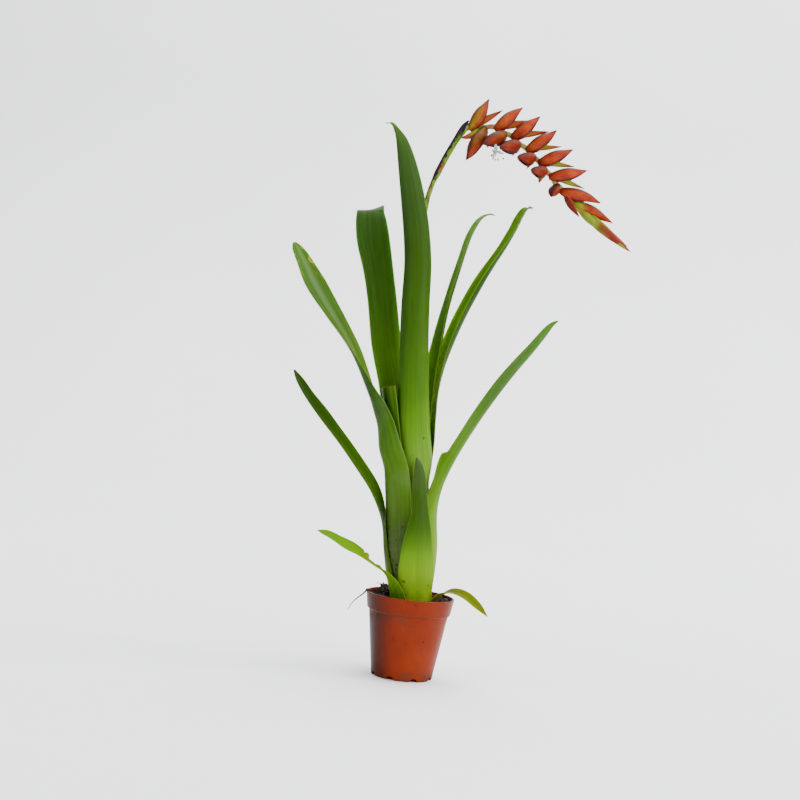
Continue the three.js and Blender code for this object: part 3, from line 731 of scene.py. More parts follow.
def flower_out(turn):
    """The direction away from the flower's axis at a turn round it, from the front."""
    front = unit(np.array([0, -1.0, 0]) - FLOWER_AIM * -FLOWER_AIM[1])
    return front * np.cos(turn) + np.cross(FLOWER_AIM, front) * np.sin(turn)


def petal_skins():
    """The tube and three petals, each an arc carried along a path that curves outwards."""
    skins = []
    rows = [[*(FLOWER_FOOT + FLOWER_AIM * s), radius] for s, radius in FLOWER_TUBE]
    skins.append(tube(smooth_rows(rows, 6), 16))
    for k in range(3):
        out = flower_out((k + 0.25) * 2 * np.pi / 3)
        side = np.cross(FLOWER_AIM, out)
        rows = [[*(FLOWER_FOOT + FLOWER_AIM * s + out * far), half] for s, far, half in PETAL]
        rows = smooth_rows(rows, 6)
        _, across, towards = path_frame(rows[:, :3], side)
        v, face, _ = flat_section(24)
        half = np.maximum(rows[:, 3:4], 0.05)
        reach = np.linspace(0, 1, len(rows))[:, None]
        frill = 0.16 * np.sin(reach * 12 + k) * v * v
        cup = face * 0.12 - 0.35 * half * v * v + frill
        grid = rows[:, None, :3] + across[:, None] * (half * v)[..., None]
        grid = grid - towards[:, None] * cup[..., None]
        skins.append(loft(plant_to_row(grid), reach=reach, across=v))
    return skins


def thread_skin(line, radius):
    """A thin round thread along a line."""
    return tube(np.hstack([line, np.full((len(line), 1), radius)]), 6)


def grain_skin(middle, along, half, radius):
    """A short grain: its radius falls off as on a ball, drawn out along its own line."""
    place = np.linspace(-half, half, 7)[:, None]
    round_off = radius * np.sqrt(1.02 - (place / (half + 0.01)) ** 2)
    return tube(np.hstack([middle + along * place, round_off]), 8)


def stamen_skins():
    """Six threads that spread from the tube, each by a power of the way along it, and the anther
    at the end of each, a short grain. A straight style with a blunt head is kept with them."""
    threads, anthers = [], []
    rng = np.random.default_rng(12)
    s = np.linspace(0, 1, 8)[:, None]
    for k in range(6):
        out = flower_out((k + 0.4) * np.pi / 3)
        reach = THREAD_REACH + rng.uniform(-0.8, 2.2)
        spread = THREAD_SPREAD + rng.uniform(-0.8, 1.2)
        line = FLOWER_FOOT + FLOWER_AIM * (4 + (reach - 4) * s) + out * (0.3 + spread * s ** 1.6)
        threads.append(thread_skin(line, 0.11))
        anthers.append(grain_skin(line[-1], unit(line[-1] - line[-2]), 0.75, 0.42))
    style = FLOWER_FOOT + FLOWER_AIM * (4 + 7.6 * s) + flower_out(1.2) * 0.9 * s
    threads.append(thread_skin(style, 0.16))
    anthers.append(grain_skin(style[-1], FLOWER_AIM, 0.6, 0.5))
    return threads, anthers


# Pot and soil

def body_radius(z):
    """The outer radius of the wall, straight from the base to the foot of the collar."""
    top = COLLAR_FOOT_RADIUS - COLLAR_STEP
    return BASE_RADIUS + (top - BASE_RADIUS) * z / (POT_HEIGHT - COLLAR_HEIGHT)


def lathe(profile, sides):
    """A profile of [radius, height] turned about Z, closed by its two ends on the axis."""
    profile = np.asarray(profile, float)
    turn = np.linspace(0, 2 * np.pi, sides, endpoint=False)
    x = profile[1:-1, :1] * np.cos(turn)
    y = profile[1:-1, :1] * np.sin(turn)
    z = np.broadcast_to(profile[1:-1, 1:], x.shape)
    return np.stack([x, y, z], -1)


def fillet(corners, radius, steps=5):
    """The corners of a profile rounded off: each is replaced by a quadratic curve that starts
    and ends the radius away from it, or less on a short side."""
    corners = np.asarray(corners, float)
    out = [corners[:1]]
    t = np.linspace(0, 1, steps)[:, None]
    for a, b, c in zip(corners[:-2], corners[1:-1], corners[2:]):
        before = min(radius, 0.45 * np.linalg.norm(b - a))
        after = min(radius, 0.45 * np.linalg.norm(c - b))
        p, q = b + unit(a - b) * before, b + unit(c - b) * after
        out.append((1 - t) ** 2 * p + 2 * t * (1 - t) * b + t * t * q)
    out.append(corners[-1:])
    return np.vstack(out)


def pot_skin():
    """The cup: a filleted profile of base, wall, stepped collar and rim, turned about Z, with
    rows about every 1.5 mm up the wall so that it can be a little out of round."""
    step = POT_HEIGHT - COLLAR_HEIGHT
    outer = [
        [0, 0],
        [BASE_RADIUS - 0.4, 0],
        [BASE_RADIUS + 0.05, 0.7],
        [body_radius(step), step],
        [COLLAR_FOOT_RADIUS - 0.1, step + 0.35],
        [COLLAR_FOOT_RADIUS + 0.05, step + 1.1],
        [RIM_RADIUS - 0.25, POT_HEIGHT - 1.2],
        [RIM_RADIUS, POT_HEIGHT - 0.7],
        [RIM_RADIUS - 0.1, POT_HEIGHT],
        [RIM_RADIUS - WALL - 0.2, POT_HEIGHT],
        [COLLAR_FOOT_RADIUS - WALL - 0.2, step + 0.4],
        [body_radius(step) - WALL, step - 0.4],
        [BASE_RADIUS - WALL, WALL + 0.8],
        [BASE_RADIUS - WALL - 0.8, WALL],
        [0, WALL],
    ]
    profile = fillet(outer, 0.45)
    rows = [profile[:1]]
    for a, b in zip(profile[:-1], profile[1:]):
        count = max(1, int(np.linalg.norm(b - a) / 1.5))
        rows.append(a + (b - a) * (np.arange(1, count + 1) / count)[:, None])
    grid = lathe(np.vstack(rows), POT_SIDES)
    turn = np.arctan2(grid[..., 1], grid[..., 0])
    stretch = 1 + 0.004 * np.cos(2 * turn + 0.7) * grid[..., 2] / POT_HEIGHT
    grid[..., :2] *= stretch[..., None]
    return loft(grid)


def drain_cutters():
    """Rods across the corner of the base, each an ellipse as wide and high as a drain notch, at
    slightly uneven heights and widths."""
    rng = np.random.default_rng(8)
    skins = []
    turn = np.linspace(0, 2 * np.pi, 32, endpoint=False)
    for k in range(DRAIN_COUNT):
        a = (k + 0.5) * 2 * np.pi / DRAIN_COUNT
        width = DRAIN_WIDTH / 2 * rng.uniform(0.82, 1.05)
        height = DRAIN_HEIGHT * rng.uniform(0.85, 1.1)
        out, side = np.array([np.cos(a), np.sin(a), 0]), np.array([-np.sin(a), np.cos(a), 0])
        up = np.array([0, 0, 1])
        ring = side * (width * np.cos(turn))[:, None] + up * (height * np.sin(turn))[:, None]
        ends = [out * (BASE_RADIUS + far) + ring for far in (-DRAIN_DEPTH, DRAIN_DEPTH)]
        skins.append(loft(np.stack(ends)))
    return skins


def soil_height(x, y):
    """The solid's soil top: the level, two crossed waves and a bell for each clump, which is
    given as [x, y, height, spread]."""
    waves = 0.5 * np.sin(x * 0.9 + 1) * np.cos(y * 1.1) + 0.35 * np.sin(1.7 * x - 1.3 * y)
    clumps = 0
    for at_x, at_y, high, wide in SOIL_CLUMPS:
        clumps = clumps + high * np.exp(-((x - at_x) ** 2 + (y - at_y) ** 2) / wide ** 2)
    return SOIL_TOP + waves + clumps


def soil_skin():
    """Potting mix: a plug with a lumpy top. The top is the soil height plus three sizes of
    unevenness, and it falls a little where it meets the wall."""
    rings = np.linspace(0, 1, SOIL_RINGS)[1:] ** 0.8
    turn = np.linspace(0, 2 * np.pi, SOIL_SIDES, endpoint=False)
    x = rings[:, None] * SOIL_EDGE * np.cos(turn)
    y = rings[:, None] * SOIL_EDGE * np.sin(turn)
    flat = np.stack([x, y], -1)
    rough = 0.7 * uneven(flat, 7, 31) + 0.45 * uneven(flat, 2.6, 32) + 0.2 * uneven(flat, 1.1, 33)
    z = soil_height(x, y) + rough - 1.2 * smoothstep(rings, 0.93, 1)[:, None]
    top = np.stack([x, y, z], -1)[::-1]
    step = POT_HEIGHT - COLLAR_HEIGHT
    wall = [[BASE_RADIUS - WALL - 1.4, WALL + 0.4], [BASE_RADIUS - WALL - 0.4, WALL + 1.8]]
    wall += [[body_radius(step) - WALL - 0.4, step - 0.6], [SOIL_EDGE, step + 2.6]]
    side = lathe([[0, 0], *wall, [0, 0]], len(turn))
    return loft(np.concatenate([side, top]))


def lump():
    """An eight-sided lump split once: the unit points of its corners and edge middles."""
    corners = np.array([[1, 0, 0], [-1, 0, 0], [0, 1, 0], [0, -1, 0], [0, 0, 1], [0, 0, -1]], float)
    faces = [[0, 2, 4], [2, 1, 4], [1, 3, 4], [3, 0, 4], [2, 0, 5], [1, 2, 5], [3, 1, 5], [0, 3, 5]]
    points, made, middle = list(corners), [], {}
    for a, b, c in faces:
        mids = []
        for p, q in ((a, b), (b, c), (c, a)):
            key = (min(p, q), max(p, q))
            if key not in middle:
                middle[key] = len(points)
                points.append(unit(points[p] + points[q]))
            mids.append(middle[key])
        ab, bc, ca = mids
        made += [[a, ab, ca], [ab, b, bc], [ca, bc, c], [ab, bc, ca]]
    return np.array(points), np.array(made)


def crumb_skins(count, size, flatness, seed):
    """Crumbs scattered over the soil: lumps with jittered corners, stretched, turned and sunk in
    to about half their height, none under the sheaths or beyond the wall."""
    rng = np.random.default_rng(seed)
    points, faces = lump()
    r = SOIL_EDGE * np.sqrt(rng.uniform(0.16, 0.97, count))
    a = rng.uniform(0, 2 * np.pi, count)
    x, y = r * np.cos(a), r * np.sin(a)
    big = size * rng.lognormal(0, 0.45, count)
    shape = points[None] * rng.uniform(0.75, 1.2, (count, len(points), 1))
    stretch = [rng.uniform(0.7, 1.5, count), rng.uniform(0.5, 1, count), np.full(count, flatness)]
    stretch = np.stack(stretch, -1)
    shape = shape * (stretch * big[:, None])[:, None]
    turn = np.linalg.qr(rng.normal(size=(count, 3, 3)))[0]
    level = np.broadcast_to(np.eye(3), turn.shape)
    turn = np.where(rng.uniform(size=(count, 1, 1)) < 0.6, turn, level)
    shape = np.einsum("nij,nkj->nki", turn, shape)
    centre = np.stack([x, y, soil_height(x, y) + big * 0.15], -1)
    skins = []
    for k in range(count):
        tone = np.full(len(points), rng.uniform(0, 1))
        skins.append(facing_out(shape[k] + centre[k], [faces], {"tone": tone}))
    return skins


# Dry rootlets: the first hangs over the left of the rim, and the others lie on the soil
ROOTLETS = [
    [
        [-21, -3, 47.4], [-24.8, -3.6, 50.6], [-27.2, -4.2, 51.7], [-28.3, -4.6, 50],
        [-30, -5, 48], [-33, -5.8, 45.6], [-35.6, -6.4, 42.2], [-37.2, -7, 38.4],
    ],
    [[-15, -12, 47.2], [-19, -14, 48.6], [-22.5, -12, 48.4], [-24, -9, 47]],
    [[15, -15, 47.2], [18, -12, 48.8], [20, -9, 47.6], [22, -7, 47]],
    [[12, 17, 47], [16, 15, 49], [20, 12, 48.6], [22, 9, 47]],
    [[-21, 6, 47], [-19, 9, 52.5], [-20.5, 12, 54.4], [-22, 15, 53]],
]
RIM_ROOTLET_RADIUS = 0.75
ROOTLET_RADIUS = 0.26


def root_skins():
    """Dry rootlets: thin threads along smooth paths, bent a little by unevenness, each thinner
    towards its end."""
    skins = []
    for k, line in enumerate(ROOTLETS):
        thick = ROOTLET_RADIUS if k else RIM_ROOTLET_RADIUS
        rows = smooth_rows([[*p, thick * (1 - 0.1 * i)] for i, p in enumerate(line)], 8)
        bends = [uneven(rows[:, :3], 5, 50 + 3 * k + c, 2) for c in range(3)]
        rows[:, :3] += 0.18 * np.stack(bends, -1)
        _, u, w = path_frame(rows[:, :3], np.array([0, 1.0, 0.2]))
        turn = np.linspace(0, 2 * np.pi, 7, endpoint=False)[None, :, None]
        ring = u[:, None] * np.cos(turn) + w[:, None] * np.sin(turn)
        skins.append(loft(rows[:, None, :3] + rows[:, None, 3:4] * ring))
    return skins


# Shader nodes

# Places of the colour sockets on a Mix node, whose names repeat
MIX_SHARE, MIX_A, MIX_B = 0, 6, 7
MIX_COLOUR = 2


def tint(red, green, blue):
    """A colour given as it looks on a screen, 0 to 255, as the linear colour that shaders take."""
    value = np.array([red, green, blue]) / 255
    linear = np.where(value <= 0.04045, value / 12.92, ((value + 0.055) / 1.055) ** 2.4)
    return (*[float(c) for c in linear], 1.0)


def feed(tree, socket, value):
    """Joins a socket to another one, or sets it to a plain value."""
    if isinstance(value, bpy.types.NodeSocket):
        tree.links.new(value, socket)
    else:
        socket.default_value = value


def add(tree, kind, inputs=None, **settings):
    """One shader node, with its settings and what feeds its inputs."""
    made = tree.nodes.new("ShaderNode" + kind)
    for key, value in settings.items():
        setattr(made, key, value)
    for key, value in (inputs or {}).items():
        feed(tree, made.inputs[key], value)
    return made


def math_node(tree, operation, a, b=0.0):
    """One Math node's output."""
    return add(tree, "Math", {0: a, 1: b}, operation=operation).outputs[0]


def times(tree, a, b):
    """a times b."""
    return math_node(tree, "MULTIPLY", a, b)


def plus(tree, a, b):
    """a and b together."""
    return math_node(tree, "ADD", a, b)


def minus(tree, a, b):
    """a less b."""
    return math_node(tree, "SUBTRACT", a, b)


def larger(tree, a, b):
    """The larger of a and b."""
    return math_node(tree, "MAXIMUM", a, b)


def off_zero(tree, a):
    """How far a lies from zero."""
    return math_node(tree, "ABSOLUTE", a)


def rising(tree, value, low, high):
    """0 below low, 1 above high, smooth between them; it falls where low is the larger one."""
    inputs = {"Value": value, "From Min": low, "From Max": high}
    return add(tree, "MapRange", inputs, interpolation_type="SMOOTHSTEP").outputs["Result"]


def mixed(tree, share, a, b, blend="MIX"):
    """Two colours mixed by a share, or b laid over a in another blend."""
    inputs = {MIX_SHARE: share, MIX_A: a, MIX_B: b}
    return add(tree, "Mix", inputs, data_type="RGBA", blend_type=blend).outputs[MIX_COLOUR]


def laid(tree, colour, mask, strength, over, blend="MIX"):
    """A plain colour laid over another where a mask is high, at a strength."""
    return mixed(tree, times(tree, mask, strength), colour, over, blend)


def wandering(tree, value, cloud, spread):
    """A value shifted by how far a noise lies from its middle, times a spread."""
    return plus(tree, value, times(tree, minus(tree, cloud, 0.5), spread))


def stops(tree, value, colours):
    """A colour ramp from stops [place, red, green, blue], the colours as on a screen. Four stops
    or more are joined by a smooth spline, fewer by straight lines."""
    made = add(tree, "ValToRGB", {"Fac": value})
    ramp = made.color_ramp
    ramp.interpolation = "B_SPLINE" if len(colours) > 3 else "LINEAR"
    while len(ramp.elements) < len(colours):
        ramp.elements.new(0.5)
    for element, (place, *colour) in zip(ramp.elements, colours):
        element.position = place
        element.color = tint(*colour)
    return made.outputs["Color"]


def read(tree, name):
    """A value kept on the mesh."""
    return add(tree, "Attribute", attribute_name=name).outputs["Fac"]


def on_object(tree):
    """The place on the piece, in metres."""
    return add(tree, "TexCoord").outputs["Object"]


def noise(tree, vector, scale, detail=3.0, roughness=0.55):
    """Noise from 0 to 1."""
    inputs = {"Vector": vector, "Scale": scale, "Detail": detail, "Roughness": roughness}
    return add(tree, "TexNoise", inputs).outputs["Fac"]


def raised(tree, height, strength, distance, under=None):
    """The normal of a surface raised by a height over a distance in metres, on top of another."""
    inputs = {"Height": height, "Strength": strength, "Distance": distance}
    if under is not None:
        inputs["Normal"] = under
    return add(tree, "Bump", inputs).outputs["Normal"]


def new_group(name, inputs, outputs):
    """An empty node group with its sockets; gives the tree, its inputs and its output node."""
    group = bpy.data.node_groups.new(name, "ShaderNodeTree")
    for label, kind, value in inputs:
        socket = group.interface.new_socket(label, in_out="INPUT", socket_type="NodeSocket" + kind)
        if value is not None:
            socket.default_value = value
    for label, kind in outputs:
        group.interface.new_socket(label, in_out="OUTPUT", socket_type="NodeSocket" + kind)
    start = group.nodes.new("NodeGroupInput")
    return group, start.outputs, group.nodes.new("NodeGroupOutput")


def use(tree, group, **inputs):
    """A node group placed in a material; its outputs by name."""
    return add(tree, "Group", inputs, node_tree=group).outputs


def new_material(name):
    """A material with only its output; gives it, its tree and that node."""
    material = bpy.data.materials.new(name)
    material.use_nodes = True
    tree = material.node_tree
    tree.nodes.clear()
    return material, tree, tree.nodes.new("ShaderNodeOutputMaterial")


def finish_material(tree, output, colour, roughness, normal, shine=0.15, **plain):
    """The Principled shader, with its plain values on its own sockets."""
    inputs = {"Base Color": colour, "Roughness": roughness, "Normal": normal}
    shader = add(tree, "BsdfPrincipled", {**inputs, "Specular IOR Level": shine, **plain})
    tree.links.new(shader.outputs[0], output.inputs["Surface"])


def make_vein_group():
    """Lengthwise veins: noise drawn out along the leaf, coarse for the colour and fine for the
    ridges, from the share across and the length in millimetres."""
    group, given, out = new_group(
        "lengthwise_veins",
        [("Across", "Float", 0.0), ("Length", "Float", 0.0), ("Count", "Float", 12.0)],
        [("Streaks", "Float"), ("Ridges", "Float")],
    )
    place = times(group, given["Across"], given["Count"])
    coarse = {"X": place, "Y": times(group, given["Length"], 0.012)}
    streaks = noise(group, add(group, "CombineXYZ", coarse).outputs[0], 1.0, 4.0, 0.6)
    fine = {"X": times(group, place, 2.6), "Y": times(group, given["Length"], 0.02), "Z": 3.0}
    ridges = noise(group, add(group, "CombineXYZ", fine).outputs[0], 1.0, 2.0)
    group.links.new(streaks, out.inputs["Streaks"])
    group.links.new(ridges, out.inputs["Ridges"])
    return group


def make_speck_group():
    """Small round specks of random size round the points of a cell pattern, in the patches
    where a slow noise is under the amount."""
    values = [("Scale", "Float", 600.0), ("Size", "Float", 0.25), ("Amount", "Float", 0.5)]
    inputs = [("Vector", "Vector", None), *values]
    group, given, out = new_group("specks", inputs, [("Mask", "Float")])
    cells = add(group, "TexVoronoi", {"Vector": given["Vector"], "Scale": given["Scale"]})
    luck = add(group, "SeparateColor", {"Color": cells.outputs["Color"]}).outputs[0]
    size = times(group, given["Size"], luck)
    dot = math_node(group, "LESS_THAN", cells.outputs["Distance"], size)
    slow = noise(group, given["Vector"], 160.0, 2.0)
    patch = math_node(group, "LESS_THAN", slow, given["Amount"])
    group.links.new(times(group, dot, patch), out.inputs["Mask"])
    return group


VEINS = make_vein_group()
SPECKS = make_speck_group()


def leaf_ground(tree, at, outer, inner, lines):
    """A leaf's colour before its marks: a ramp along each face, streaked by fine veins and
    darkened in broader bands. Gives it with the fine veins' ridges."""
    wander = wandering(tree, at["reach"], noise(tree, at["place"], 45.0, 2.0), 0.05)
    colour = mixed(tree, at["inner"], stops(tree, wander, outer), stops(tree, wander, inner))
    veins = use(tree, VEINS, Across=at["across"], Length=at["length"])
    streaks = [(0.3, 178, 178, 168), (0.5, 222, 222, 218), (0.72, 255, 255, 244)]
    colour = mixed(tree, lines, colour, stops(tree, veins["Streaks"], streaks), "MULTIPLY")
    broad = use(tree, VEINS, Across=at["across"], Length=at["length"], Count=3.2)["Streaks"]
    bands = stops(tree, broad, [(0.36, 196, 200, 190), (0.62, 255, 255, 246)])
    return mixed(tree, lines, colour, bands, "MULTIPLY"), veins["Ridges"]


def shaded_side(tree, colour, at, side, low, high, strength):
    """Painted shade: the outer face darkened towards one margin. Side is -1 for the low margin and
    1 for the high one, and the shade starts and is full at two places across, counted that way."""
    shaded = rising(tree, times(tree, at["across"], side), low, high)
    shaded = times(tree, shaded, times(tree, at["outer"], strength))
    return mixed(tree, shaded, colour, tint(150, 164, 160), "MULTIPLY")


def painted_rib_highlight(tree, colour, at, centre, start, strength):
    """A painted highlight: a pale stripe along the leaf at a place across, from a start in its reach."""
    ridge = rising(tree, off_zero(tree, minus(tree, at["across"], centre)), 0.42, 0.0)
    ridge = times(tree, ridge, rising(tree, at["reach"], start, start + 0.12))
    return laid(tree, colour, ridge, strength, tint(172, 194, 142))


def dusty_bloom(tree, colour, at, strength):
    """A pale grey-green bloom on the outer face, in slow patches."""
    return laid(tree, colour, times(tree, at["patches"], at["outer"]), strength, tint(150, 172, 138))


def spotted_tip(tree, colour, at, start, full, spot):
    """Dried spots near the margins, from a start in the reach."""
    spots = rising(tree, noise(tree, at["place"], 270.0, 2.0), 0.55, 0.64)
    rim = rising(tree, off_zero(tree, at["across"]), 0.5, 0.9)
    spots = times(tree, times(tree, spots, rim), rising(tree, at["reach"], start, full))
    return laid(tree, colour, spots, 0.75, tint(*spot))


def torn_edge(tree, colour, at, end):
    """A dried brown line across the low margin, where a tear ends in the reach."""
    before = rising(tree, at["reach"], end - 0.006, end)
    after = rising(tree, at["reach"], end + 0.008, end + 0.03)
    line = times(tree, minus(tree, before, after), rising(tree, at["across"], 0.0, -0.4))
    return laid(tree, colour, line, 0.7, tint(176, 128, 66))


def stained_foot(tree, colour, at, top):
    """Brown stains towards the high margin, up to a reach."""
    stain = rising(tree, noise(tree, at["place"], 230.0, 4.0, 0.7), 0.5, 0.62)
    stain = times(tree, stain, rising(tree, at["reach"], top, top * 0.3))
    stain = times(tree, stain, rising(tree, at["across"], -0.4, 0.9))
    return laid(tree, colour, stain, 0.9, tint(112, 70, 34))


def thin_margin(tree, colour, at, *edge):
    """A thin line of another colour along both margins."""
    margin = rising(tree, off_zero(tree, at["across"]), 0.93, 0.99)
    return laid(tree, colour, margin, 0.75, tint(*edge))


def specked_sheath(tree, colour, at, low, high, amount):
    """Dark specks between two places in the reach."""
    above = rising(tree, at["reach"], low, low + 0.03)
    zone = minus(tree, above, rising(tree, at["reach"], high - 0.03, high))
    dots = use(tree, SPECKS, Vector=at["place"], Scale=400.0, Size=0.46, Amount=amount)["Mask"]
    return laid(tree, colour, times(tree, dots, zone), 0.85, tint(34, 40, 24))


# A leaf's marks, in the order in which they are laid on: its own, and the painted shade (shade) and
# painted highlight (rib)
LEAF_MARKS = {
    "shade": shaded_side,
    "rib": painted_rib_highlight,
    "bloom": dusty_bloom,
    "tip": spotted_tip,
    "torn": torn_edge,
    "stained": stained_foot,
    "edge": thin_margin,
    "specks": specked_sheath,
}


def leaf_material(name, outer, inner, lines=0.6, gloss=0.42, shine=0.08, **marks):
    """Living leaf: its ground of greens, then its marks, its own and the painted shade and highlight,
    then one correction of the hue over all of them. It is rougher in the patches that take bloom,
    with vein ridges and pores."""
    material, tree, output = new_material(name)
    at = {key: read(tree, key) for key in ("reach", "across", "inner", "length")}
    at["place"] = on_object(tree)
    at["outer"] = minus(tree, 1.0, at["inner"])
    at["patches"] = rising(tree, noise(tree, at["place"], 28.0, 3.0), 0.42, 0.7)
    colour, ridges = leaf_ground(tree, at, outer, inner, lines)
    for key, mark in LEAF_MARKS.items():
        if key in marks:
            colour = mark(tree, colour, at, *marks[key])
    even = {"Hue": 0.51, "Saturation": 1.12, "Value": 0.6, "Color": colour}
    colour = add(tree, "HueSaturation", even).outputs[0]
    rough = plus(tree, gloss, times(tree, at["patches"], 0.14))
    normal = raised(tree, ridges, 0.35, 0.0003)
    normal = raised(tree, noise(tree, at["place"], 1400.0, 2.0), 0.12, 0.0001, normal)
    flesh = {"Subsurface Weight": 0.35, "Subsurface Radius": (0.8, 1.0, 0.3), "Subsurface Scale": 0.0016}
    finish_material(tree, output, colour, rough, normal, shine, **flesh)
    return material


def bract_material():
    """Bracts: orange-red, yellow-green at the heart of some and green towards the foot of
    others, by the values kept on them, with fine veins, a purple keel line, dark edges that are
    partly their own colour and partly painted shade, a dark tip, painted shade at the foot and
    painted shade over the whole lower rank."""
    material, tree, output = new_material("bract_skin")
    place = on_object(tree)
    reach, across, yellow, green = (read(tree, n) for n in ("reach", "across", "yellow", "green"))
    off_keel = off_zero(tree, across)
    patch = noise(tree, place, 160.0, 3.0)
    red = stops(tree, patch, [(0.3, 128, 33, 16), (0.5, 150, 46, 21), (0.7, 172, 66, 25)])
    ochre = stops(tree, patch, [(0.3, 136, 84, 10), (0.5, 138, 114, 10), (0.7, 114, 126, 14)])
    heart = times(tree, rising(tree, off_keel, 0.9, 0.45), rising(tree, reach, 0.98, 0.3))
    colour = mixed(tree, times(tree, yellow, heart), red, ochre)
    still = minus(tree, times(tree, green, 1.6), times(tree, reach, 0.9))
    still = wandering(tree, still, patch, 0.5)
    leafy = rising(tree, still, 0.22, 0.55)
    colour = mixed(tree, leafy, colour, stops(tree, patch, [(0.3, 104, 132, 22), (0.7, 140, 158, 44)]))
    length = times(tree, reach, 24.0)
    veins = use(tree, VEINS, Across=across, Length=length, Count=9.0)
    streaks = [(0.3, 168, 150, 142), (0.5, 226, 220, 214), (0.7, 255, 250, 240)]
    colour = mixed(tree, 0.85, colour, stops(tree, veins["Streaks"], streaks), "MULTIPLY")
    keel = times(tree, rising(tree, off_keel, 0.42, 0.14), 0.85)
    # The dark edges are partly the bract's own colour and partly painted shade
    edge = times(tree, rising(tree, off_keel, 0.82, 0.95), 0.85)
    end = times(tree, rising(tree, reach, 0.84, 1.0), 0.85)
    # Painted shade at the foot, where the bract meets the axis
    foot = times(tree, rising(tree, reach, 0.14, 0.0), 0.55)
    dark = larger(tree, larger(tree, keel, edge), larger(tree, end, foot))
    dark = times(tree, dark, minus(tree, 1.0, times(tree, larger(tree, leafy, green), 0.8)))
    colour = mixed(tree, dark, colour, tint(64, 18, 22))
    dots = use(tree, SPECKS, Vector=place, Scale=900.0, Size=0.32, Amount=0.55)["Mask"]
    colour = laid(tree, colour, dots, 0.45, tint(112, 30, 18))
    # Painted shade over the lower rank, which lies under the bracts above it
    colour = mixed(tree, read(tree, "lower"), colour, tint(196, 184, 178), "MULTIPLY")
    normal = raised(tree, veins["Ridges"], 0.4, 0.00025)
    rough = plus(tree, 0.4, times(tree, patch, 0.2))
    finish_material(tree, output, colour, rough, normal, shine=0.1)
    return material


def calyx_material():
    """Calyces: green or red by the value kept on each, green-yellow at the base, red towards the
    tip and dark at its end."""
    material, tree, output = new_material("calyx_skin")
    place = on_object(tree)
    reach, across, red = read(tree, "reach"), read(tree, "across"), read(tree, "red")
    patch = noise(tree, place, 240.0, 3.0)
    wander = wandering(tree, reach, patch, 0.35)
    fresh = [
        (0.1, 136, 150, 44), (0.5, 112, 138, 20), (0.74, 132, 110, 22), (0.9, 132, 44, 18),
        (1, 56, 22, 22),
    ]
    ripe = [
        (0.1, 140, 112, 34), (0.4, 150, 74, 16), (0.66, 148, 46, 14), (0.86, 118, 30, 16),
        (1, 44, 18, 22),
    ]
    colour = mixed(tree, red, stops(tree, wander, fresh), stops(tree, wander, ripe))
    veins = use(tree, VEINS, Across=across, Length=times(tree, reach, 22.0), Count=4.0)
    streak = stops(tree, veins["Streaks"], [(0.3, 180, 170, 156), (0.7, 255, 252, 246)])
    colour = mixed(tree, 0.8, colour, streak, "MULTIPLY")
    normal = raised(tree, veins["Ridges"], 0.3, 0.0002)
    finish_material(tree, output, colour, 0.45, normal)
    return material


def axis_material():
    """The spike's axis: pale green, flushed pink in patches, with faint flecks, and painted shade that
    darkens its upper side and its foot."""
    material, tree, output = new_material("axis_skin")
    place = on_object(tree)
    reach = read(tree, "reach")
    patch = noise(tree, place, 190.0, 3.0)
    flush = plus(tree, patch, times(tree, reach, -0.18))
    pinks = [(0.3, 150, 156, 76), (0.42, 150, 126, 76), (0.54, 146, 84, 62), (0.75, 104, 44, 42)]
    colour = stops(tree, flush, pinks)
    outward = add(tree, "NewGeometry").outputs["Normal"]
    up = add(tree, "SeparateXYZ", {"Vector": outward}).outputs["Z"]
    # Painted shade: darker on the upper side and at the foot
    shaded = times(tree, rising(tree, plus(tree, up, times(tree, patch, 0.4)), 0.75, 1.1), 0.7)
    shaded = larger(tree, shaded, rising(tree, reach, 0.07, 0.02))
    colour = mixed(tree, shaded, colour, tint(72, 42, 44))
    fine = noise(tree, place, 1500.0, 2.0)
    flecks = stops(tree, fine, [(0.35, 190, 184, 176), (0.65, 255, 255, 255)])
    colour = mixed(tree, 0.5, colour, flecks, "MULTIPLY")
    normal = raised(tree, fine, 0.3, 0.0002)
    finish_material(tree, output, colour, 0.5, normal)
    return material


def stalk_material():
    """The stalk: yellow-green, mottled with purple-black specks; they close up on its left side,
    which is painted shade.
    """
    material, tree, output = new_material("stalk_skin")
    place = on_object(tree)
    outward = add(tree, "NewGeometry").outputs["Normal"]
    # Painted shade: the specks close up where the surface faces left (-X)
    left = rising(tree, add(tree, "SeparateXYZ", {"Vector": outward}).outputs["X"], 0.1, -0.75)
    drawn = add(tree, "Mapping", {"Vector": place, "Scale": (1.0, 1.0, 0.45)}).outputs[0]
    slow = noise(tree, place, 70.0, 2.0)
    base = stops(tree, slow, [(0.35, 82, 124, 14), (0.52, 102, 140, 22), (0.66, 118, 84, 34)])
    mottle = noise(tree, drawn, 620.0, 3.0, 0.7)
    dark = rising(tree, plus(tree, mottle, times(tree, left, 0.2)), 0.52, 0.62)
    colour = laid(tree, base, dark, 0.88, tint(36, 24, 32))
    normal = raised(tree, mottle, 0.25, 0.0002)
    finish_material(tree, output, colour, plus(tree, 0.38, times(tree, mottle, 0.2)), normal)
    return material


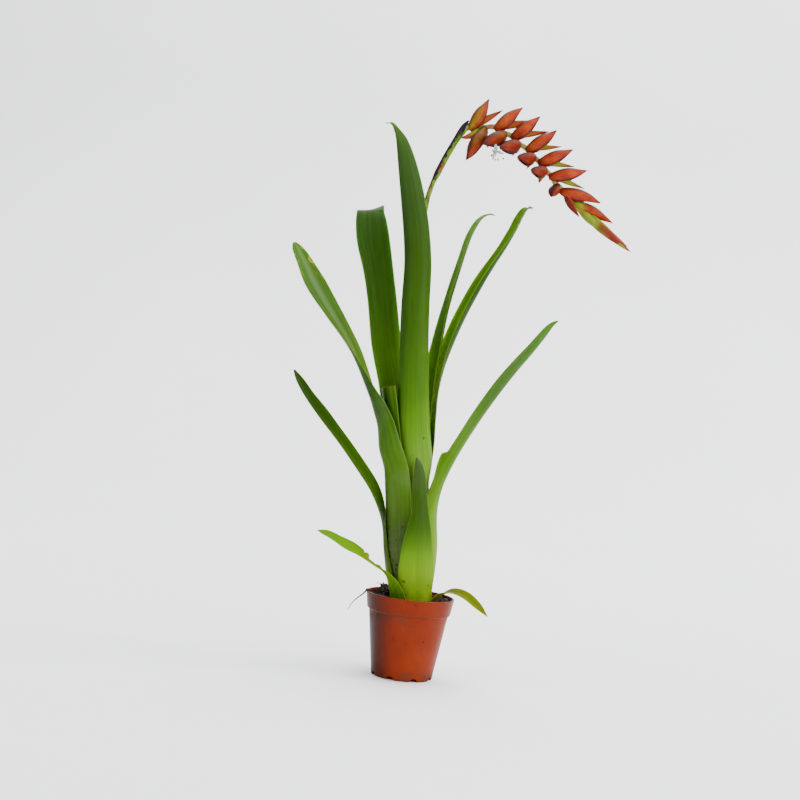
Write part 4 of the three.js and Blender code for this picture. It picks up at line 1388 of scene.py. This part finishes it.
def sheath_material():
    """The clasping bract on the stalk: green to brown near its margins, with dark specks, and
    purple-black down its back and at its tip."""
    material, tree, output = new_material("stalk_sheath_skin")
    place = on_object(tree)
    reach, across = read(tree, "reach"), read(tree, "across")
    mottle = noise(tree, place, 420.0, 3.0, 0.65)
    back = rising(tree, plus(tree, off_zero(tree, across), times(tree, mottle, 1.3)), 1.1, 0.9)
    end = rising(tree, plus(tree, reach, times(tree, mottle, 0.3)), 0.78, 0.98)
    slow = noise(tree, place, 90.0, 2.0)
    base = stops(tree, slow, [(0.35, 56, 92, 10), (0.52, 84, 120, 18), (0.64, 112, 84, 30)])
    specks = rising(tree, mottle, 0.56, 0.64)
    dark = larger(tree, larger(tree, back, end), times(tree, specks, 0.7))
    colour = mixed(tree, dark, base, tint(34, 22, 34))
    normal = raised(tree, mottle, 0.25, 0.0002)
    finish_material(tree, output, colour, 0.42, normal, shine=0.08)
    return material


def petal_material():
    """Petals and threads: thin translucent white, faintly clouded."""
    material, tree, output = new_material("petal_skin")
    place = on_object(tree)
    cloud = noise(tree, place, 900.0, 3.0)
    colour = stops(tree, cloud, [(0.35, 122, 124, 110), (0.5, 188, 190, 178), (0.7, 228, 230, 220)])
    normal = raised(tree, cloud, 0.3, 0.0001)
    plain = {"Transmission Weight": 0.25, "IOR": 1.35}
    finish_material(tree, output, colour, 0.5, normal, **plain)
    return material


def grain_material(name, dark, light, scale, strength, distance, rough=0.85):
    """A rough natural grain between two colours, with a bump of the same noise."""
    material, tree, output = new_material(name)
    place = on_object(tree)
    grain = noise(tree, place, scale, 5.0, 0.7)
    colour = stops(tree, grain, [(0.34, *dark), (0.68, *light)])
    normal = raised(tree, grain, strength, distance)
    finish_material(tree, output, colour, rough, normal, shine=0.25)
    return material


def crumb_material():
    """Crumbs of peat and bark: black-brown to red-brown by the tone kept on each."""
    material, tree, output = new_material("bark_crumbs")
    place = on_object(tree)
    tone = read(tree, "tone")
    grain = noise(tree, place, 1800.0, 4.0, 0.7)
    colour = stops(tree, tone, [(0.0, 14, 11, 9), (0.6, 36, 24, 17), (0.88, 62, 40, 26), (1, 96, 66, 42)])
    flecks = stops(tree, grain, [(0.3, 110, 105, 100), (0.7, 255, 250, 245)])
    colour = mixed(tree, 0.8, colour, flecks, "MULTIPLY")
    normal = raised(tree, grain, 0.7, 0.0004)
    finish_material(tree, output, colour, 0.9, normal, shine=0.25)
    return material


def pot_material():
    """Thin moulded plastic: terracotta orange, slightly cloudy, with rubbed marks, soil stains by
    the base and below the collar, painted shade on its left side, and stuck grains of soil."""
    material, tree, output = new_material("pot_plastic")
    place = on_object(tree)
    height = add(tree, "SeparateXYZ", {"Vector": place}).outputs["Z"]
    cloud = noise(tree, place, 30.0, 4.0, 0.6)
    colour = stops(tree, cloud, [(0.3, 98, 27, 1), (0.5, 108, 31, 3), (0.7, 119, 38, 5)])
    drawn = add(tree, "Mapping", {"Vector": place, "Scale": (1.0, 1.0, 0.12)}).outputs[0]
    scuffs = rising(tree, noise(tree, drawn, 420.0, 4.0, 0.65), 0.58, 0.75)
    colour = laid(tree, colour, scuffs, 0.08, tint(176, 84, 46))
    stain = noise(tree, place, 95.0, 4.0, 0.7)
    low = rising(tree, height, 0.011, 0.0)
    under = times(tree, rising(tree, height, 0.031, 0.039), rising(tree, height, 0.0425, 0.041))
    soiled = larger(tree, times(tree, low, 0.8), times(tree, under, 0.55))
    soiled = times(tree, soiled, rising(tree, stain, 0.44, 0.6))
    colour = mixed(tree, soiled, colour, tint(74, 40, 28))
    # Painted shade: darker where the surface faces left (-X)
    outward = add(tree, "TexCoord").outputs["Normal"]
    sideways = add(tree, "SeparateXYZ", {"Vector": outward}).outputs["X"]
    painted_left_shade = rising(tree, plus(tree, sideways, times(tree, cloud, -0.1)), -0.28, -0.98)
    colour = laid(tree, colour, painted_left_shade, 0.9, tint(86, 80, 84), "MULTIPLY")
    fine = use(tree, SPECKS, Vector=place, Scale=620.0, Size=0.26, Amount=0.47)["Mask"]
    coarse = use(tree, SPECKS, Vector=place, Scale=260.0, Size=0.24, Amount=0.42)["Mask"]
    grains = larger(tree, fine, coarse)
    colour = laid(tree, colour, grains, 0.8, tint(44, 26, 20))
    rough = plus(tree, 0.34, times(tree, cloud, 0.12))
    rough = plus(tree, rough, times(tree, larger(tree, grains, soiled), 0.35))
    normal = raised(tree, noise(tree, drawn, 300.0, 3.0), 0.12, 0.0003)
    normal = raised(tree, grains, 0.5, 0.0004, normal)
    finish_material(tree, output, colour, rough, normal, shine=0.09)
    return material


# Greens of each leaf: ramps along the outer and the inner face, each stop a reach and a colour as
# on a screen; the colour of the margin; then what the leaf's marks take, its own and the painted
# shade and highlight, with how strong its lines are, how rough it is and how much it shines.
LEAF_LOOKS = {
    "leaf_right_inner": dict(
        outer=[
            (0.1, 150, 180, 80), (0.38, 118, 165, 60), (0.55, 108, 160, 54), (0.7, 84, 128, 44),
            (0.82, 78, 120, 42), (0.95, 100, 142, 56),
        ],
        # The pale middle of the inner ramp is painted light, lifting the shade inside the channel
        inner=[
            (0.2, 140, 190, 60), (0.5, 160, 215, 80), (0.6, 120, 164, 60), (0.66, 96, 136, 56),
            (0.78, 122, 160, 84), (1, 130, 176, 84),
        ],
        edge=(120, 120, 60),
    ),
    "leaf_right_outer": dict(
        outer=[
            (0.1, 150, 180, 80), (0.38, 108, 150, 36), (0.5, 74, 112, 14), (0.6, 50, 88, 2),
            (0.8, 44, 82, 2), (0.92, 50, 90, 4), (1, 78, 116, 12),
        ],
        # The pale stops of the inner ramp are painted light, lifting the shade inside the channel
        inner=[
            (0.2, 170, 225, 80), (0.48, 180, 230, 90), (0.6, 160, 206, 76), (0.7, 140, 190, 66),
            (0.82, 112, 158, 58), (1, 104, 142, 46),
        ],
        edge=(128, 128, 62),
        shine=0.04,
        tip=(0.9, 0.94, (196, 186, 40)),
    ),
    "leaf_tall_front": dict(
        outer=[
            (0.0, 168, 196, 100), (0.3, 142, 178, 80), (0.37, 120, 162, 60), (0.45, 84, 126, 12),
            (0.56, 71, 106, 18), (0.68, 67, 96, 28), (0.82, 62, 88, 36), (0.93, 72, 98, 44),
            (1, 102, 130, 66),
        ],
        inner=[(0.2, 110, 145, 40), (0.5, 64, 98, 10), (0.8, 52, 82, 18), (1, 96, 126, 50)],
        edge=(124, 160, 50),
        shade=(-1.0, 0.1, 0.95, 0.7),
        lines=0.42,
        specks=(0.28, 0.38, 0.42),
    ),
    "leaf_trimmed": dict(
        outer=[
            (0.1, 150, 180, 80), (0.5, 100, 140, 40), (0.85, 66, 98, 30), (0.97, 72, 108, 26),
            (1, 96, 110, 50),
        ],
        inner=[(0.2, 110, 145, 40), (0.6, 74, 108, 12), (0.95, 66, 100, 8), (1, 120, 118, 66)],
        edge=(120, 150, 60),
    ),
    "leaf_folded_back": dict(
        outer=[(0.1, 150, 180, 80), (0.4, 90, 122, 40), (0.7, 62, 88, 36), (1, 74, 100, 46)],
        inner=[
            (0.2, 130, 180, 30), (0.42, 128, 176, 14), (0.5, 104, 150, 10), (0.6, 74, 112, 12),
            (0.7, 60, 94, 18), (0.8, 58, 88, 30), (0.88, 84, 112, 60), (1, 96, 124, 80),
        ],
        edge=(110, 136, 84),
        bloom=(0.1,),
        gloss=0.5,
    ),
    "leaf_left_upper": dict(
        outer=[
            (0.0, 140, 170, 84), (0.14, 68, 82, 20), (0.24, 74, 98, 40), (0.36, 104, 138, 46),
            (0.46, 86, 122, 42), (0.56, 50, 76, 16), (0.66, 58, 92, 14), (0.8, 96, 128, 50),
            (0.92, 104, 138, 56), (1, 92, 132, 34),
        ],
        inner=[
            (0.2, 110, 140, 40), (0.5, 84, 118, 26), (0.66, 108, 140, 50), (0.78, 88, 120, 50),
            (0.9, 86, 120, 52), (1, 88, 130, 38),
        ],
        edge=(112, 134, 70),
        specks=(0.08, 0.26, 0.56),
        tip=(0.86, 0.95, (214, 184, 50)),
        shade=(-1.0, -0.3, 0.9, 0.85),
        # rib: a painted highlight along the upper blade
        rib=(-0.16, 0.6, 0.2),
        bloom=(0.12,),
    ),
    "leaf_right_arching": dict(
        outer=[
            (0.0, 150, 180, 50), (0.24, 124, 158, 24), (0.34, 116, 154, 36), (0.46, 104, 142, 42),
            (0.56, 112, 148, 68), (0.66, 88, 121, 50), (0.76, 80, 114, 46), (0.88, 94, 130, 60),
            (1, 98, 138, 44),
        ],
        inner=[(0.2, 120, 155, 50), (0.5, 84, 120, 20), (1, 88, 124, 40)],
        edge=(92, 82, 52),
        bloom=(0.05,),
    ),
    "leaf_left_lower": dict(
        outer=[
            (0.15, 108, 136, 14), (0.28, 52, 76, 4), (0.4, 52, 82, 4), (0.6, 52, 76, 10),
            (1, 56, 82, 20),
        ],
        inner=[
            (0.1, 120, 150, 50), (0.35, 100, 142, 6), (0.52, 96, 142, 2), (0.65, 74, 112, 1),
            (0.78, 58, 90, 1), (0.9, 50, 80, 2), (1, 54, 84, 8),
        ],
        edge=(100, 124, 40),
        shine=0.02,
    ),
    "leaf_short_front": dict(
        outer=[
            (0.0, 156, 176, 90), (0.16, 136, 164, 50), (0.3, 136, 172, 40), (0.38, 126, 168, 34),
            (0.46, 94, 134, 4), (0.55, 66, 100, 1), (0.65, 60, 90, 4), (0.78, 62, 88, 26),
            (0.92, 74, 96, 44),
        ],
        inner=[(0.2, 120, 150, 50), (0.6, 70, 100, 20), (1, 86, 108, 60)],
        edge=(108, 138, 60),
        specks=(0.06, 0.26, 0.4),
        stained=(0.26,),
        lines=0.38,
        bloom=(0.03,),
        gloss=0.38,
    ),
    "leaf_small_left": dict(
        outer=[
            (0.0, 110, 140, 50), (0.2, 98, 138, 24), (0.45, 112, 152, 34), (0.7, 136, 174, 34),
            (0.95, 140, 176, 40),
        ],
        inner=[
            (0.0, 100, 130, 40), (0.3, 92, 126, 18), (0.6, 140, 180, 34), (0.75, 132, 176, 20),
            (0.9, 114, 166, 4), (1, 130, 172, 20),
        ],
        edge=(150, 170, 60),
        torn=(0.558,),
        bloom=(0.05,),
        shine=0.03,
    ),
    "leaf_small_right": dict(
        outer=[
            (0.0, 96, 80, 44), (0.3, 120, 108, 44), (0.5, 138, 150, 36), (0.8, 120, 146, 26),
            (1, 130, 110, 44),
        ],
        inner=[
            (0.0, 80, 56, 30), (0.3, 102, 84, 28), (0.45, 100, 104, 2), (0.6, 124, 132, 2),
            (0.75, 116, 130, 8), (0.95, 126, 124, 24),
        ],
        edge=(206, 180, 40),
        stained=(0.42,),
        bloom=(0.05,),
        shine=0.02,
    ),
}


# Pieces

def cut_drain_notches(pot, finish):
    """Takes the rods out of the pot by an exact Boolean, which is applied, and then marks the
    sharp edges."""
    material, _, _ = new_material("cutter")
    cutters = piece("drain_cutters", drain_cutters(), material)
    notches = pot.modifiers.new("drain_notches", "BOOLEAN")
    notches.operation = "DIFFERENCE"
    notches.object = cutters
    notches.solver = "EXACT"
    bpy.context.view_layer.update()
    shown = pot.evaluated_get(bpy.context.evaluated_depsgraph_get())
    cut_mesh = bpy.data.meshes.new_from_object(shown)
    pot.modifiers.clear()
    pot.data = cut_mesh
    cut_mesh.materials.clear()
    cut_mesh.materials.append(finish)
    cut_mesh.shade_smooth()
    cut_mesh.set_sharp_from_angle(angle=SHARP_ANGLE)
    bpy.data.objects.remove(cutters)


pot_finish = pot_material()
pot_shell = piece("pot_shell", [pot_skin()], pot_finish, ["pot"])
cut_drain_notches(pot_shell, pot_finish)

mix_finish = grain_material("potting_mix", (12, 9, 7), (48, 33, 24), 520.0, 0.8, 0.0006, 0.95)
piece("potting_mix", [soil_skin()], mix_finish, ["soil"])
peat = crumb_skins(count=620, size=0.75, flatness=0.8, seed=41)
bark = crumb_skins(count=150, size=1.5, flatness=0.4, seed=42)
piece("bark_crumbs", peat + bark, crumb_material())
root_finish = grain_material("dry_roots", (28, 18, 13), (66, 45, 33), 900.0, 0.4, 0.0002)
piece("dry_rootlets", root_skins(), root_finish)

for seed, (name, leaf) in enumerate(LEAVES.items()):
    finish = leaf_material(name + "_skin", **LEAF_LOOKS[name])
    piece(name + "_blade", [leaf_skin(*leaf, seed)], finish, [name])

piece("flower_stalk", [stalk_skin()], stalk_material(), ["stalk"])
piece("stalk_sheath", [stalk_sheath_skin()], sheath_material())

bract_finish = bract_material()
bracts = [bract_skin(index, row) for index, row in enumerate(BRACTS)]
piece("spike_bracts", bracts + [small_bract_skin()], bract_finish, ["spike"])
calyces = [calyx_skin(row) for row in BRACTS if row[CALYX_LENGTH]]
piece("spike_calyces", calyces, calyx_material())
piece("spike_axis", [spike_axis_skin()], axis_material())

petal_finish = petal_material()
threads, anthers = stamen_skins()
piece("flower_petals", petal_skins(), petal_finish, ["open_flower"])
piece("flower_threads", threads, petal_finish)
anther_finish = grain_material("anther_grain", (36, 22, 14), (84, 56, 34), 2500.0, 0.5, 0.0001)
piece("flower_anthers", anthers, anther_finish)


# Studio

# The camera's place in the plant's frame, and its lens, both in millimetres
CAMERA_PLACE = [-7.15, -850.0, 125.4]
CAMERA_LENS = 61.5

# Square lights: place, the point they face, side in metres and power in watts
LIGHTS = {
    "key": ((1.25, -1.35, 0.9), (0.0, 0.0, 0.2), 1.9, 60.0),
    "fill": ((-1.6, -1.3, 0.7), (0.0, 0.0, 0.2), 1.8, 34.0),
    "top": ((0.0, 0.7, 2.4), (0.0, 0.9, 0.0), 2.4, 158.0),
    "side": ((2.3, 0.3, 1.7), (-0.4, 1.4, 0.4), 1.4, 84.0),
}


def backdrop():
    """A pale floor that turns up into a wall behind: straight, a quarter circle, straight,
    carried sideways."""
    bend, behind, high, wide = 0.7, 1.6, 3.0, 3.2
    turn = np.linspace(0, np.pi / 2, 24)
    y = np.concatenate([[-3.0], behind - bend + bend * np.sin(turn), [behind]])
    z = np.concatenate([[0], bend - bend * np.cos(turn), [high]])
    x = np.linspace(-wide, wide, 3)
    points = np.stack(np.broadcast_arrays(x[None, :], y[:, None], z[:, None]), -1).reshape(-1, 3)
    i, j = np.meshgrid(np.arange(len(y) - 1), np.arange(2), indexing="ij")
    quads = np.stack([i * 3 + j, i * 3 + j + 1, (i + 1) * 3 + j + 1, (i + 1) * 3 + j], -1)
    mesh = bpy.data.meshes.new("backdrop")
    mesh.from_pydata(points.tolist(), [], quads.reshape(-1, 4).tolist())
    mesh.shade_smooth()
    material, tree, output = new_material("pale_backdrop")
    place = on_object(tree)
    paper = stops(tree, noise(tree, place, 2.0, 2.0), [(0.3, 228, 229, 230), (0.7, 232, 233, 233)])
    fibre = raised(tree, noise(tree, place, 900.0), 0.03, 0.0002)
    finish_material(tree, output, paper, 0.9, fibre, shine=0.1)
    mesh.materials.append(material)
    made = bpy.data.objects.new("backdrop", mesh)
    bpy.context.scene.collection.objects.link(made)


def soft_light(name, place, aim, size, power):
    """A square area light that faces a point."""
    data = bpy.data.lights.new(name, "AREA")
    data.shape = "SQUARE"
    data.size = size
    data.energy = power
    made = bpy.data.objects.new(name, data)
    back = unit(np.array(place, float) - np.array(aim, float))
    right = unit(np.cross([0, 0, 1.0], back))
    made.matrix_world = Matrix(np.vstack([
        np.stack([right, np.cross(back, right), back, place], -1), [0, 0, 0, 1]
    ]).tolist())
    bpy.context.scene.collection.objects.link(made)


def level_camera():
    """The camera looks level along Y, turned about its line of sight by the plant's lean, so
    that the plant stands upright in the picture and the pot leans a little."""
    data = bpy.data.cameras.new("camera")
    data.lens = CAMERA_LENS
    data.sensor_width = 36.0
    made = bpy.data.objects.new("camera", data)
    place = plant_to_row(np.array(CAMERA_PLACE)) / 1000
    c, s = np.cos(-PLANT_LEAN), np.sin(-PLANT_LEAN)
    right, up, back = [c, 0, s], [-s, 0, c], [0, -1, 0]
    made.matrix_world = Matrix(np.vstack([
        np.stack([right, up, back, place], -1), [0, 0, 0, 1]
    ]).tolist())
    bpy.context.scene.collection.objects.link(made)
    bpy.context.scene.camera = made


backdrop()
for name, light in LIGHTS.items():
    soft_light(name, *light)
world = bpy.data.worlds.new("studio")
bpy.context.scene.world = world
world.use_nodes = True
sky = world.node_tree.nodes["Background"].inputs
sky["Color"].default_value = (0.9, 0.95, 1.0, 1)
sky["Strength"].default_value = 0.1
level_camera()
